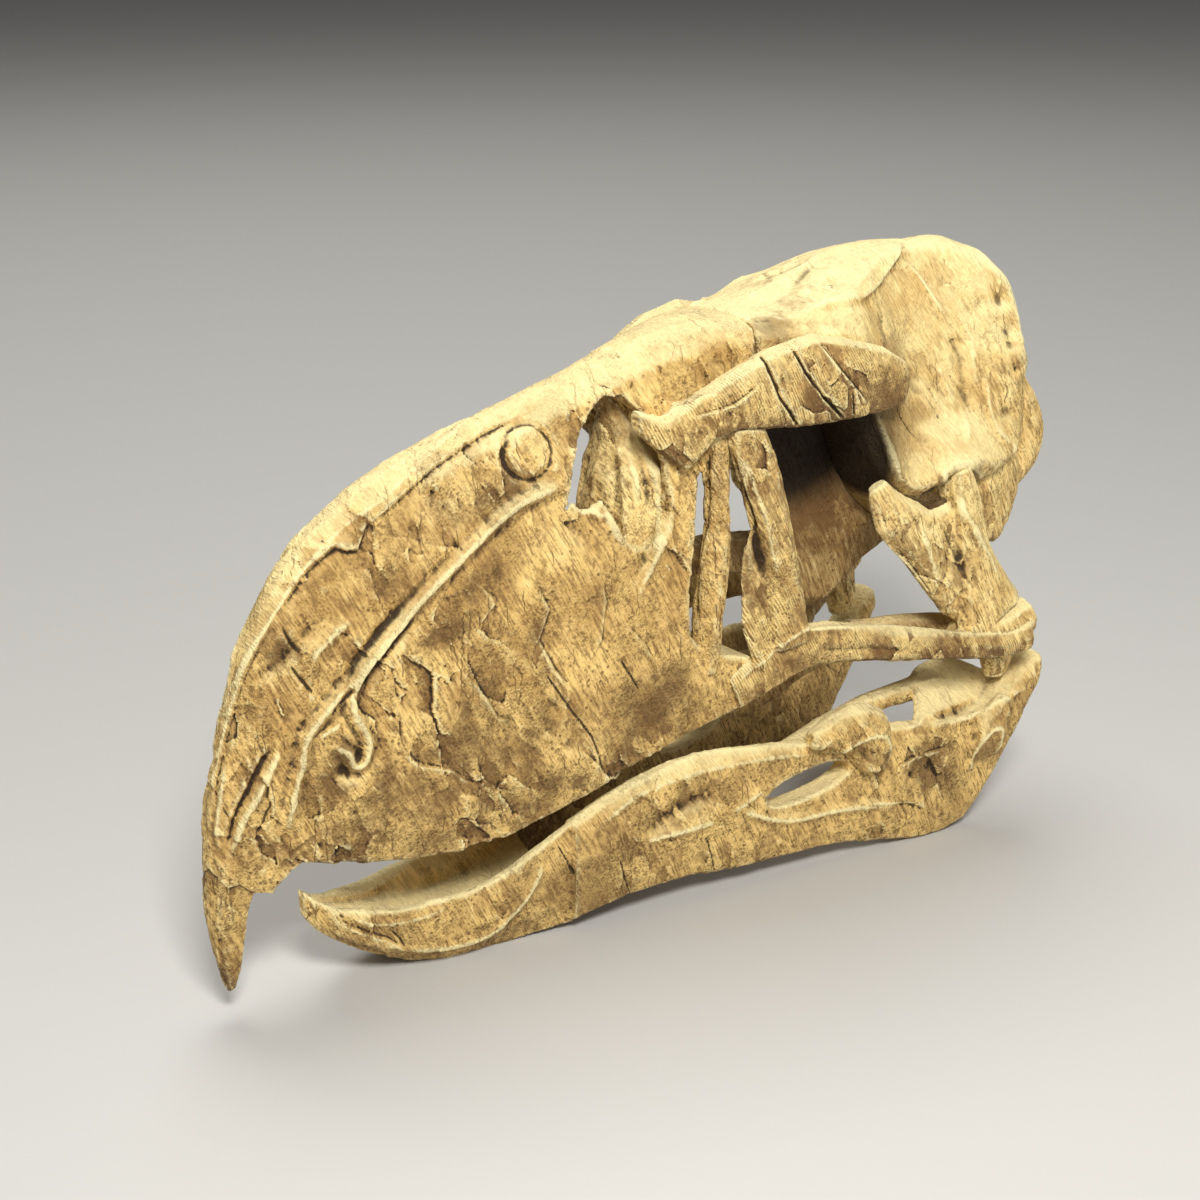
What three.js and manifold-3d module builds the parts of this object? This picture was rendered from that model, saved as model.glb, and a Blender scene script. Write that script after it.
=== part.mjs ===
// A terror bird skull with its lower jaw, at rest on the jaw. Units are millimetres.
// +Z is up, the beak points along -X and the bird's left side faces -Y.
// The origin is on the floor under the middle of the skull, in the plane that mirrors left and right.
// Stations along X are counted from middleX ahead of it.
//
// Every bone is a skin stretched over rings. The bones are listed in an order of precedence, and
// each one is cut by all the bones before it, so that they meet face to face with a thin seam.

import * as THREE from "three";
import Module from "manifold-3d";

const wasm = await Module();
wasm.setup();

// ---- driving dimensions ----

const seam = 0.3; // gap left between two bones that meet
const jawFloor = 0; // the jaw stands on flats at this level
const middleX = 10.02; // half way from the bill's front to the rearmost bone
const boneColour = 0xc9a76a;
const darkBoneColour = 0xa98752;

// ---- solids from rings ----

const lerp = THREE.MathUtils.lerp;

// Values of one field between keys, on a Catmull-Rom curve.
function between(before, from, to, after, t) {
  const t2 = t * t;
  const t3 = t2 * t;
  return (
    0.5 *
    (2 * from +
      (to - before) * t +
      (2 * before - 5 * from + 4 * to - after) * t2 +
      (3 * from - before - 3 * to + after) * t3)
  );
}

// Adds smooth in-between stations to a list of stations whose fields are all numbers.
function smooth(stations, steps) {
  const made = [];
  const last = stations.length - 1;
  for (let i = 0; i < last; i++) {
    const [a, b, c, d] = [i - 1, i, i + 1, i + 2].map(
      (k) => stations[Math.min(Math.max(k, 0), last)],
    );
    for (let k = 0; k < steps; k++) {
      const station = {};
      for (const field of Object.keys(b))
        station[field] = between(a[field], b[field], c[field], d[field], k / steps);
      made.push(station);
    }
  }
  made.push({ ...stations[last] });
  return made;
}

function signedVolume(points, triangles) {
  let six = 0;
  for (let i = 0; i < triangles.length; i += 3) {
    const [a, b, c] = [0, 1, 2].map((k) => points[triangles[i + k]]);
    six += a.dot(b.clone().cross(c));
  }
  return six / 6;
}

// Moves every point outwards, square to the faces around it.
function swell(points, triangles, grow) {
  const normals = points.map(() => new THREE.Vector3());
  for (let i = 0; i < triangles.length; i += 3) {
    const corners = [0, 1, 2].map((k) => points[triangles[i + k]]);
    const facing = new THREE.Triangle(...corners).getNormal(new THREE.Vector3());
    corners.forEach((corner, k) => {
      const [next, after] = [corners[(k + 1) % 3], corners[(k + 2) % 3]];
      const angle = next.clone().sub(corner).angleTo(after.clone().sub(corner));
      normals[triangles[i + k]].addScaledVector(facing, angle || 0);
    });
  }
  return points.map((p, i) => p.clone().addScaledVector(normals[i].normalize(), grow));
}

function solidOf(points, triangles, grow = 0) {
  if (signedVolume(points, triangles) < 0)
    for (let i = 0; i < triangles.length; i += 3)
      [triangles[i + 1], triangles[i + 2]] = [triangles[i + 2], triangles[i + 1]];
  const placed = grow ? swell(points, triangles, grow) : points;
  return new wasm.Manifold(
    new wasm.Mesh({
      numProp: 3,
      vertProperties: Float32Array.from(placed.flatMap((p) => [p.x, p.y, p.z])),
      triVerts: Uint32Array.from(triangles),
    }),
  );
}

// The triangles that close one flat ring, which may be hollow on one side.
function capOf(ring) {
  const across = ring[Math.floor(ring.length / 4)].clone().sub(ring[0]).normalize();
  const facing = new THREE.Vector3();
  ring.forEach((p, i) => facing.add(p.clone().cross(ring[(i + 1) % ring.length])));
  const up = facing.cross(across).normalize();
  return THREE.ShapeUtils.triangulateShape(
    ring.map((p) => new THREE.Vector2(p.dot(across), p.dot(up))),
    [],
  );
}

// A closed skin over rings that all have the same number of points, swollen by grow.
function skin(rings, grow = 0) {
  const count = rings[0].length;
  const last = rings.length - 1;
  const triangles = [];
  for (let k = 0; k < count; k++) {
    const next = (k + 1) % count;
    for (let i = 0; i < last; i++) {
      const [a, b] = [i * count + k, i * count + next];
      const [c, d] = [a + count, b + count];
      triangles.push(a, b, d, a, d, c);
    }
  }
  for (const [a, b, c] of capOf(rings[0])) triangles.push(a, c, b);
  for (const face of capOf(rings[last])) triangles.push(...face.map((k) => last * count + k));
  return solidOf(rings.flat(), triangles, grow && grow + 0.1);
}

// A box between two corners.
function block(low, high) {
  const points = [];
  for (const x of [low.x, high.x])
    for (const y of [low.y, high.y])
      for (const z of [low.z, high.z]) points.push(new THREE.Vector3(x, y, z));
  const faces = [
    [0, 1, 3, 2],
    [4, 6, 7, 5],
    [0, 4, 5, 1],
    [2, 3, 7, 6],
    [0, 2, 6, 4],
    [1, 5, 7, 3],
  ];
  return solidOf(
    points,
    faces.flatMap(([a, b, c, d]) => [a, b, c, a, c, d]),
  );
}

// One rounded ring: centre, two half axes, and how square it is (2 is an ellipse).
function roundRing(centre, half, across, count, square) {
  const ring = [];
  for (let k = 0; k < count; k++) {
    const angle = (2 * Math.PI * k) / count;
    const [c, s] = [Math.cos(angle), Math.sin(angle)].map(
      (v) => Math.sign(v) * Math.abs(v) ** (2 / square),
    );
    ring.push(centre.clone().addScaledVector(half, c).addScaledVector(across, s));
  }
  return ring;
}

// A bar along stations {x, y, z, tall, wide, twist}: tall is its half size in the plane of the
// path and the vertical or fore-and-aft direction given, wide its half size sideways.
function bar(stations, grow, { steps = 2, count = 8, square = 2.3 } = {}) {
  const path = smooth(stations, steps);
  const at = path.map((s) => new THREE.Vector3(s.x, s.y, s.z));
  const sideways = new THREE.Vector3(0, 1, 0);
  const rings = path.map((s, i) => {
    const along = at[Math.min(i + 1, at.length - 1)].clone();
    along.sub(at[Math.max(i - 1, 0)]).normalize();
    const tall = new THREE.Vector3().crossVectors(along, sideways).normalize();
    const wide = new THREE.Vector3().crossVectors(tall, along).normalize();
    const turn = THREE.MathUtils.degToRad(s.twist ?? 0);
    tall.applyAxisAngle(along, turn).multiplyScalar(s.tall);
    wide.applyAxisAngle(along, turn).multiplyScalar(s.wide);
    return roundRing(at[i], tall, wide, count, square);
  });
  return skin(rings, grow);
}

// A crossways bar, which runs along Y between two stations {x, y, z, tall, wide}.
function crossBar(stations, grow, { steps = 1, count = 10 } = {}) {
  const rings = smooth(stations, steps).map((s) =>
    roundRing(
      new THREE.Vector3(s.x, s.y, s.z),
      new THREE.Vector3(s.wide, 0, 0),
      new THREE.Vector3(0, 0, s.tall),
      count,
      2.2,
    ),
  );
  return skin(rings, grow);
}

// An upright plate along X: stations {x, top, bottom, y, thick}, thick being half the thickness.
function plate(stations, grow, { steps = 1, count = 10, square = 2.6 } = {}) {
  const rings = smooth(stations, steps).map((s) =>
    roundRing(
      new THREE.Vector3(s.x, s.y, (s.top + s.bottom) / 2),
      new THREE.Vector3(0, 0, (s.top - s.bottom) / 2),
      new THREE.Vector3(0, s.thick, 0),
      count,
      square,
    ),
  );
  return skin(rings, grow);
}

// A rounded window through the whole width, with rounded corners, shrunk by grow.
function windowCut({ x, z, wide, tall, y = 0, deep = 160, square = 3, lean = 0 }, grow) {
  const middle = (side) => new THREE.Vector3(x, y + (side * deep) / 2, z);
  const turn = THREE.MathUtils.degToRad(lean);
  const up = new THREE.Vector3(Math.sin(turn), 0, Math.cos(turn));
  const back = new THREE.Vector3(Math.cos(turn), 0, -Math.sin(turn));
  const rings = [-1, 1].map((side) =>
    roundRing(
      middle(side),
      up.clone().multiplyScalar(tall / 2 - grow),
      back.clone().multiplyScalar(wide / 2 - grow),
      14,
      square,
    ),
  );
  return skin(rings);
}

// ---- upper beak ----

// Stations from the hinge to the hook. topX, topZ follow the culmen and edgeX, edgeZ the cutting
// edge. ridge is the half width of the rounded culmen; middle and cheek are the half widths half
// way down the side and low on it; vault is how far the palate is hollowed.
const beakStations = [
  { topX: 48, topZ: 233, edgeX: 38, edgeZ: 77, ridge: 20, middle: 29, cheek: 35, vault: 0.1 },
  { topX: 30, topZ: 233, edgeX: 22, edgeZ: 73, ridge: 14.5, middle: 29, cheek: 34, vault: 0.1 },
  { topX: 8, topZ: 229.5, edgeX: 2, edgeZ: 68, ridge: 9, middle: 27, cheek: 33, vault: 0.11 },
  { topX: -24, topZ: 219, edgeX: -25, edgeZ: 60, ridge: 6, middle: 25, cheek: 30, vault: 0.12 },
  { topX: -53, topZ: 211, edgeX: -48, edgeZ: 53, ridge: 5, middle: 22, cheek: 28, vault: 0.12 },
  { topX: -77, topZ: 204.5, edgeX: -71, edgeZ: 48, ridge: 5, middle: 20, cheek: 25.5, vault: 0.12 },
  { topX: -98, topZ: 199, edgeX: -92, edgeZ: 47, ridge: 5, middle: 18.5, cheek: 23, vault: 0.11 },
  { topX: -118.5, topZ: 190.5, edgeX: -112, edgeZ: 49, ridge: 5, middle: 17, cheek: 20.5, vault: 0.1 },
  { topX: -137, topZ: 178.3, edgeX: -129, edgeZ: 53, ridge: 5, middle: 15.5, cheek: 18, vault: 0.08 },
  { topX: -152.5, topZ: 161, edgeX: -142, edgeZ: 56, ridge: 5, middle: 14, cheek: 15.5, vault: 0.05 },
  { topX: -165, topZ: 138.5, edgeX: -150, edgeZ: 58, ridge: 5, middle: 12.5, cheek: 13, vault: 0.03 },
  { topX: -174, topZ: 115, edgeX: -155, edgeZ: 56, ridge: 5, middle: 11, cheek: 11, vault: 0.03 },
  { topX: -180.5, topZ: 88, edgeX: -162, edgeZ: 48, ridge: 5, middle: 9.5, cheek: 9, vault: 0.03 },
  { topX: -183.5, topZ: 66, edgeX: -168.5, edgeZ: 50, ridge: 5, middle: 8.5, cheek: 7.5, vault: 0.03 },
  { topX: -185, topZ: 48, edgeX: -171, edgeZ: 43, ridge: 4.5, middle: 7.5, cheek: 6.5, vault: 0.03 },
  { topX: -183.5, topZ: 30, edgeX: -172.5, edgeZ: 31, ridge: 3.8, middle: 6, cheek: 5, vault: 0.03 },
  { topX: -181, topZ: 18, edgeX: -174, edgeZ: 20, ridge: 2.6, middle: 4, cheek: 3.4, vault: 0.03 },
  { topX: -178.5, topZ: 10.5, edgeX: -176, edgeZ: 12, ridge: 1.2, middle: 1.8, cheek: 1.6, vault: 0.03 },
];

// One half of a beak ring, from the culmen round to the roof of the palate, as [share of the way
// down from culmen to cutting edge, half width].
function beakOutline({ ridge, middle, cheek, vault }, depth) {
  const rim = Math.min(3.5, cheek / 2);
  const down = (drop) => Math.min(drop / depth, 0.1 + drop / 400);
  return [
    [down(0.5), ridge * 0.6],
    [down(2.5), ridge],
    [down(9), lerp(ridge, middle, 0.38)],
    [0.2, lerp(ridge, middle, 0.75)],
    [0.42, middle],
    [0.65, lerp(middle, cheek, 0.62)],
    [0.86, cheek],
    [0.985, cheek * 0.92],
    [1 - vault * 0.05, cheek * 0.92 - rim],
    [1 - vault * 0.75, cheek * 0.45],
  ];
}

function beakRing(station) {
  const culmen = new THREE.Vector3(station.topX, 0, station.topZ);
  const edge = new THREE.Vector3(station.edgeX, 0, station.edgeZ);
  const place = (share, y) => culmen.clone().lerp(edge, share).setY(y);
  const outline = beakOutline(station, culmen.distanceTo(edge));
  const left = outline.map(([share, width]) => place(share, -width));
  const right = outline.map(([share, width]) => place(share, width)).reverse();
  return [place(0, 0), ...left, place(1 - station.vault, 0), ...right];
}

const nostril = { x: -11, z: 182, wide: 30, tall: 60, square: 2.2, lean: -12 };
const nostrilFront = { x: -24, z: 190.5, wide: 18, tall: 44, square: 2.4, lean: 27 };
const cheekGap = { x: 46, z: 150.5, wide: 64, tall: 101, square: 4.5, lean: 9 };
const noseHollow = { x: 2, z: 153, wide: 88, tall: 90, deep: 40, square: 3 };

function upperBeak(grow = 0) {
  return skin(smooth(beakStations, 1).map(beakRing), grow)
    .subtract(windowCut(nostril, grow))
    .subtract(windowCut(nostrilFront, grow))
    .subtract(windowCut(cheekGap, grow))
    .subtract(windowCut(noseHollow, grow));
}

// ---- braincase ----

// Stations along X. top and base are heights in the middle plane; crest, wall, flank and under
// are the points on the side where the roof turns down, half way down the temple, at its lower
// rim and under it, as a half width (Y) and a height (Z).
const craniumStations = [
  { x: 48.6, top: 233, crestY: 20, crestZ: 231, wallY: 24, wallZ: 226, flankY: 25, flankZ: 219, underY: 20, underZ: 212, base: 211 },
  { x: 66, top: 236, crestY: 25, crestZ: 232, wallY: 31, wallZ: 225, flankY: 34, flankZ: 216, underY: 26, underZ: 207, base: 206 },
  { x: 84, top: 243, crestY: 26, crestZ: 237, wallY: 36, wallZ: 225, flankY: 40, flankZ: 211, underY: 30, underZ: 200, base: 199 },
  { x: 96, top: 247, crestY: 26, crestZ: 239, wallY: 36, wallZ: 220, flankY: 44, flankZ: 190, underY: 36, underZ: 182, base: 184 },
  { x: 106, top: 249.5, crestY: 22, crestZ: 242.5, wallY: 33, wallZ: 213, flankY: 48, flankZ: 165, underY: 39, underZ: 159, base: 160 },
  { x: 119, top: 251, crestY: 15, crestZ: 245, wallY: 30, wallZ: 209, flankY: 50, flankZ: 160, underY: 37, underZ: 151, base: 142 },
  { x: 134, top: 250.5, crestY: 10, crestZ: 247, wallY: 28, wallZ: 208, flankY: 51, flankZ: 166, underY: 34, underZ: 151, base: 128 },
  { x: 150, top: 249.5, crestY: 9, crestZ: 246.5, wallY: 28.5, wallZ: 206, flankY: 50, flankZ: 165, underY: 32, underZ: 147, base: 124 },
  { x: 164, top: 250, crestY: 11, crestZ: 246, wallY: 31, wallZ: 204, flankY: 46, flankZ: 161, underY: 30, underZ: 143, base: 126 },
  { x: 177, top: 246.5, crestY: 18, crestZ: 239, wallY: 36, wallZ: 205, flankY: 42, flankZ: 164, underY: 27, underZ: 140, base: 132 },
  { x: 187, top: 239, crestY: 23, crestZ: 230, wallY: 36.5, wallZ: 200, flankY: 37, flankZ: 168, underY: 22, underZ: 142, base: 138 },
  { x: 195, top: 220, crestY: 19, crestZ: 212, wallY: 28, wallZ: 193, flankY: 27, flankZ: 172, underY: 16, underZ: 150, base: 146 },
];

function craniumRing(s) {
  const half = [
    [s.crestY * 0.55, lerp(s.top, s.crestZ, 0.3)],
    [s.crestY, s.crestZ],
    [lerp(s.crestY, s.wallY, 0.5), lerp(s.crestZ, s.wallZ, 0.45)],
    [s.wallY, s.wallZ],
    [lerp(s.wallY, s.flankY, 0.42), lerp(s.wallZ, s.flankZ, 0.55)],
    [s.flankY, s.flankZ],
    [s.underY, s.underZ],
    [s.underY * 0.5, lerp(s.underZ, s.base, 0.7)],
  ];
  const side = (sign) => half.map(([y, z]) => new THREE.Vector3(s.x, sign * y, z));
  const middle = (z) => new THREE.Vector3(s.x, 0, z);
  return [middle(s.top), ...side(-1), middle(s.base), ...side(1).reverse()];
}

function cranium(grow = 0) {
  return skin(smooth(craniumStations, 2).map(craniumRing), grow);
}

const condyle = { x: 195, z: 163, radius: 8 };

function occipitalCondyle(grow = 0) {
  const { x, z, radius } = condyle;
  const station = (along, size) => ({
    x: x + along * radius,
    y: 0,
    z: z - along * radius * 0.4,
    tall: radius * size,
    wide: radius * size * 1.3,
  });
  const stations = [station(-1.6, 1.25), station(-0.6, 1.05), station(0.3, 1), station(0.9, 0.5)];
  return bar(stations, grow);
}

// ---- bones of the left side (the right side mirrors them) ----

const browStations = [
  { x: -9, top: 206, bottom: 198, y: -22, thick: 3 },
  { x: 1, top: 202, bottom: 188.5, y: -25, thick: 4.5 },
  { x: 9, top: 207, bottom: 181, y: -27.5, thick: 5 },
  { x: 18, top: 213, bottom: 192.5, y: -32, thick: 5.5 },
  { x: 28, top: 219, bottom: 195.5, y: -35.5, thick: 6 },
  { x: 42, top: 225.5, bottom: 194.5, y: -38, thick: 6.5 },
  { x: 60, top: 229, bottom: 193, y: -40, thick: 6.5 },
  { x: 78, top: 225, bottom: 193, y: -42, thick: 6.5 },
  { x: 95, top: 220, bottom: 194, y: -44, thick: 6 },
  { x: 104, top: 214.5, bottom: 195.5, y: -44.6, thick: 5.4 },
  { x: 107, top: 209, bottom: 200, y: -45, thick: 3 },
];

function brow(grow) {
  return plate(browStations, grow, { square: 3.2 });
}

function cheekBar(grow) {
  return bar(
    [
      { x: 33, y: -32, z: 87, tall: 10, wide: 3.5 },
      { x: 48, y: -36, z: 94, tall: 10, wide: 4 },
      { x: 64, y: -40, z: 101, tall: 10, wide: 4.5 },
      { x: 82, y: -44, z: 99.5, tall: 8.5, wide: 4.5 },
      { x: 106, y: -49, z: 95, tall: 7, wide: 4.5 },
      { x: 132, y: -54, z: 90, tall: 6.2, wide: 4.5 },
      { x: 156, y: -58, z: 86, tall: 6.2, wide: 4.5 },
      { x: 174, y: -60, z: 87, tall: 7, wide: 5 },
    ],
    grow,
  );
}

function tearColumn(grow) {
  return bar(
    [
      { x: 22, y: -27, z: 205, tall: 6, wide: 5, twist: 0 },
      { x: 24, y: -29, z: 186, tall: 5, wide: 5, twist: 20 },
      { x: 25, y: -30, z: 158, tall: 5.5, wide: 5, twist: 40 },
      { x: 22, y: -30, z: 128, tall: 6, wide: 4.5, twist: 55 },
      { x: 19, y: -30, z: 98, tall: 6, wide: 4.5, twist: 60 },
    ],
    grow,
  );
}

function orbitStrut(grow) {
  return bar(
    [
      { x: 30, y: -34, z: 204, tall: 7, wide: 5, twist: 0 },
      { x: 38, y: -35, z: 182, tall: 9, wide: 5, twist: 10 },
      { x: 45, y: -36, z: 160, tall: 8.5, wide: 5, twist: 25 },
      { x: 51, y: -38, z: 135, tall: 7.5, wide: 5, twist: 30 },
      { x: 56, y: -40, z: 104, tall: 9, wide: 4.5, twist: 10 },
    ],
    grow,
  );
}

function strutLobe(grow) {
  return bar(
    [
      { x: 42, y: -34, z: 161, tall: 3, wide: 2 },
      { x: 41.5, y: -34.5, z: 140, tall: 7.5, wide: 2.6 },
      { x: 43, y: -36, z: 118, tall: 9.5, wide: 2.6 },
      { x: 47, y: -37.5, z: 97, tall: 7.5, wide: 2.6 },
    ],
    grow,
    { steps: 1 },
  );
}

function quadrate(grow) {
  const ear = bar(
    [
      { x: 138, y: -49, z: 164, tall: 4, wide: 4 },
      { x: 140, y: -50, z: 154, tall: 7, wide: 5 },
      { x: 143, y: -51, z: 134, tall: 9, wide: 5.5 },
      { x: 150, y: -52, z: 115, tall: 13, wide: 6 },
      { x: 157, y: -53, z: 97, tall: 19, wide: 6.5 },
    ],
    grow,
  );
  const orbital = bar(
    [
      { x: 97, y: -43, z: 163, tall: 4, wide: 2.5 },
      { x: 104, y: -44.5, z: 150, tall: 9.5, wide: 3.6 },
      { x: 120, y: -47, z: 137, tall: 12, wide: 4.6 },
      { x: 140, y: -50, z: 114, tall: 13, wide: 5.2 },
    ],
    grow,
  );
  const joint = bar(
    [
      { x: 140, y: -50, z: 92, tall: 5, wide: 6 },
      { x: 152, y: -52, z: 89, tall: 8, wide: 9 },
      { x: 167, y: -53, z: 90, tall: 10, wide: 10 },
      { x: 179, y: -54, z: 94, tall: 8, wide: 7 },
    ],
    grow,
  );
  const neck = crossBar(
    [
      { x: 138, y: -48, z: 155, tall: 6, wide: 6 },
      { x: 136, y: -34, z: 158, tall: 6, wide: 6 },
    ],
    grow,
  );
  const condyle = bar(
    [
      { x: 167, y: -50, z: 88, tall: 9, wide: 7 },
      { x: 168, y: -49, z: 76, tall: 8, wide: 6 },
      { x: 168, y: -48.5, z: 66.5, tall: 5, wide: 4 },
    ],
    grow,
  );
  const web = plate(
    [
      { x: 106, top: 150, bottom: 136, y: -45, thick: 3.4 },
      { x: 119, top: 148, bottom: 119, y: -47, thick: 3.8 },
      { x: 133, top: 151, bottom: 102, y: -49, thick: 4 },
      { x: 146, top: 148, bottom: 94, y: -51, thick: 4 },
    ],
    grow,
  );
  return ear.add(orbital).add(web).add(joint).add(neck).add(condyle);
}

function earWing(grow) {
  const wing = plate(
    [
      { x: 157, top: 152, bottom: 141, y: -38, thick: 2.5 },
      { x: 165, top: 158, bottom: 125, y: -37, thick: 4 },
      { x: 177, top: 162, bottom: 121, y: -35, thick: 4.5 },
      { x: 186, top: 162, bottom: 129, y: -33, thick: 4 },
      { x: 190, top: 158, bottom: 138, y: -32, thick: 2.5 },
    ],
    grow,
  );
  const lobe = bar(
    [
      { x: 184, y: -30, z: 196, tall: 4, wide: 4 },
      { x: 192, y: -30, z: 182, tall: 7, wide: 6 },
      { x: 197, y: -30, z: 168, tall: 8, wide: 7 },
      { x: 196, y: -30, z: 155, tall: 7, wide: 6 },
      { x: 188, y: -30, z: 145, tall: 4, wide: 4 },
    ],
    grow,
  );
  return wing.add(lobe);
}

function palateBone(grow) {
  return plate(
    [
      { x: -8, top: 92, bottom: 82, y: -11, thick: 4 },
      { x: 25, top: 92, bottom: 72, y: -12, thick: 3.5 },
      { x: 58, top: 93, bottom: 62, y: -13, thick: 3 },
      { x: 88, top: 92, bottom: 74, y: -14, thick: 3.5 },
      { x: 118, top: 92, bottom: 82, y: -16, thick: 4 },
    ],
    grow,
    { square: 2.2 },
  );
}

function wingBone(grow) {
  return bar(
    [
      { x: 114, y: -15, z: 88, tall: 5, wide: 4 },
      { x: 132, y: -26, z: 90, tall: 5, wide: 5 },
      { x: 148, y: -42, z: 92, tall: 5, wide: 5 },
      { x: 153, y: -50, z: 92, tall: 5, wide: 5 },
    ],
    grow,
  );
}

// ---- bones in the middle plane ----

function noseCore(grow = 0) {
  return bar(
    [
      { x: -4, y: 0, z: 216, tall: 5, wide: 5 },
      { x: -4, y: 0, z: 203, tall: 5, wide: 5 },
      { x: 0, y: 0, z: 192, tall: 9, wide: 11 },
      { x: 3, y: 0, z: 178, tall: 15.5, wide: 18 },
      { x: 4, y: 0, z: 162, tall: 18, wide: 21 },
      { x: 4, y: 0, z: 146, tall: 17, wide: 21 },
      { x: 6, y: 0, z: 128, tall: 12, wide: 15 },
      { x: 6, y: 0, z: 106, tall: 8, wide: 7 },
    ],
    grow,
    { steps: 1 },
  );
}

function orbitSeptum(grow = 0) {
  return plate(
    [
      { x: 58, top: 236, bottom: 205, y: 0, thick: 3 },
      { x: 68, top: 236, bottom: 172, y: 0, thick: 4 },
      { x: 78, top: 234, bottom: 125, y: 0, thick: 5 },
      { x: 90, top: 225, bottom: 98, y: 0, thick: 8 },
      { x: 106, top: 215, bottom: 96, y: 0, thick: 11 },
      { x: 124, top: 200, bottom: 112, y: 0, thick: 13 },
      { x: 144, top: 190, bottom: 120, y: 0, thick: 11 },
    ],
    grow,
    { square: 3 },
  );
}

function rostrum(grow = 0) {
  return bar(
    [
      { x: -2, y: 0, z: 132, tall: 9, wide: 6 },
      { x: 45, y: 0, z: 133, tall: 9, wide: 6 },
      { x: 92, y: 0, z: 126, tall: 9, wide: 6 },
    ],
    grow,
    { steps: 1 },
  );
}

// ---- lower jaw ----

// Stations of the fused front, which is a spoon: rim is the height of its cutting edge, keel of
// its underside and trough of its hollow, half is its half width, and base is the share of it at
// the underside, which squares up towards the blades behind.
const spoonStations = [
  { x: -147, rim: 41.5, keel: 33, trough: 40, half: 2, base: 0.5 },
  { x: -143, rim: 37.5, keel: 27, trough: 35.5, half: 4.5, base: 0.5 },
  { x: -134, rim: 32.5, keel: 18, trough: 29, half: 9, base: 0.5 },
  { x: -116, rim: 29, keel: 7, trough: 22, half: 15, base: 0.5 },
  { x: -96, rim: 29, keel: -0.5, trough: 16, half: 19, base: 0.54 },
  { x: -76, rim: 31.5, keel: -1.2, trough: 14, half: 22, base: 0.62 },
  { x: -58, rim: 39, keel: 1, trough: 15, half: 23.8, base: 0.77 },
  { x: -40, rim: 47.5, keel: 3.5, trough: 20, half: 25.2, base: 0.93 },
];

function spoonRing({ x, rim, keel, trough, half, base }) {
  const lip = Math.min(3, half * 0.3);
  const side = (sign) =>
    [
      [half * base, keel],
      [half * lerp(base, 1, 0.72), lerp(keel, rim, 0.28)],
      [half, lerp(keel, rim, 0.7)],
      [half * 0.98, rim],
      [half * 0.98 - lip, rim],
      [half * 0.55, lerp(trough, rim, 0.22)],
    ].map(([y, z]) => new THREE.Vector3(x, sign * y, z));
  const middle = (z) => new THREE.Vector3(x, 0, z);
  return [middle(keel - 0.4), ...side(-1), middle(trough), ...side(1).reverse()];
}

const reach = 300; // farther than any bone goes

// Everything under the floor is cut off, which leaves the flats that the jaw stands on.
function underFloor() {
  return block({ x: -reach, y: -reach, z: -reach }, { x: reach, y: reach, z: jawFloor });
}

function jawFront(grow = 0) {
  const made = skin(smooth(spoonStations, 2).map(spoonRing), grow);
  return grow ? made : made.subtract(underFloor());
}

const jawWindow = { x: 67, z: 40, wide: 42, tall: 13, y: -42, deep: 30, square: 2.2, lean: -10 };

const ramusStations = [
  { x: -42, top: 47, bottom: 4, y: -22.5, thick: 5 },
  { x: -14, top: 59, bottom: 9, y: -26.5, thick: 5 },
  { x: 15, top: 63, bottom: 9.5, y: -30, thick: 5 },
  { x: 43, top: 61, bottom: 7.5, y: -34, thick: 5 },
  { x: 77, top: 57, bottom: 7, y: -38.5, thick: 5 },
  { x: 103, top: 58, bottom: 4, y: -43, thick: 5.5 },
  { x: 130, top: 54, bottom: -1, y: -46, thick: 6 },
  { x: 150, top: 54, bottom: 3, y: -48, thick: 6.5 },
  { x: 163, top: 58, bottom: 19, y: -49.5, thick: 7 },
  { x: 176, top: 67, bottom: 43, y: -51, thick: 8 },
  { x: 186, top: 75, bottom: 59, y: -52, thick: 7 },
  { x: 190, top: 71, bottom: 62, y: -52, thick: 4 },
];

// The left half of the jaw is one blade, and its bones are lengths of it.
function ramus(from, to) {
  return (grow) => {
    const path = smooth(ramusStations, 2).filter(
      ({ x }) => x > from - 25 && x < to + 25,
    );
    const blade = plate(path, grow, { count: 12, square: 3.4 });
    const made = blade.subtract(windowCut(jawWindow, grow));
    const length = slice(from - grow, to + grow);
    return grow ? made.intersect(length) : made.intersect(length).subtract(underFloor());
  };
}

// The space between two values of X.
function slice(from, to) {
  return block({ x: from, y: -reach, z: -reach }, { x: to, y: reach, z: reach });
}

function jawKnob(grow) {
  return plate(
    [
      { x: 67, top: 63, bottom: 57, y: -42.5, thick: 3.5 },
      { x: 75, top: 69.5, bottom: 55, y: -45, thick: 5.5 },
      { x: 84, top: 73, bottom: 50, y: -47.5, thick: 6.5 },
      { x: 92, top: 72, bottom: 40, y: -48.7, thick: 6.5 },
      { x: 99, top: 68, bottom: 39, y: -49.5, thick: 5.5 },
      { x: 103.5, top: 61, bottom: 46, y: -49.5, thick: 3 },
    ],
    grow,
    { square: 2.4 },
  );
}

function jawHeel(grow) {
  return bar(
    [
      { x: 148, y: -49, z: 40, tall: 4, wide: 4 },
      { x: 156, y: -53, z: 38, tall: 8, wide: 5 },
      { x: 162, y: -55, z: 46, tall: 9, wide: 5 },
      { x: 170, y: -55, z: 56, tall: 6, wide: 4 },
    ],
    grow,
  );
}

function jawInnerProcess(grow) {
  return crossBar(
    [
      { x: 151, y: -48, z: 53, tall: 4.5, wide: 31 },
      { x: 153, y: -39, z: 61, tall: 4.5, wide: 24 },
      { x: 150, y: -29, z: 68, tall: 3.5, wide: 13 },
    ],
    grow,
  );
}

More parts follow.
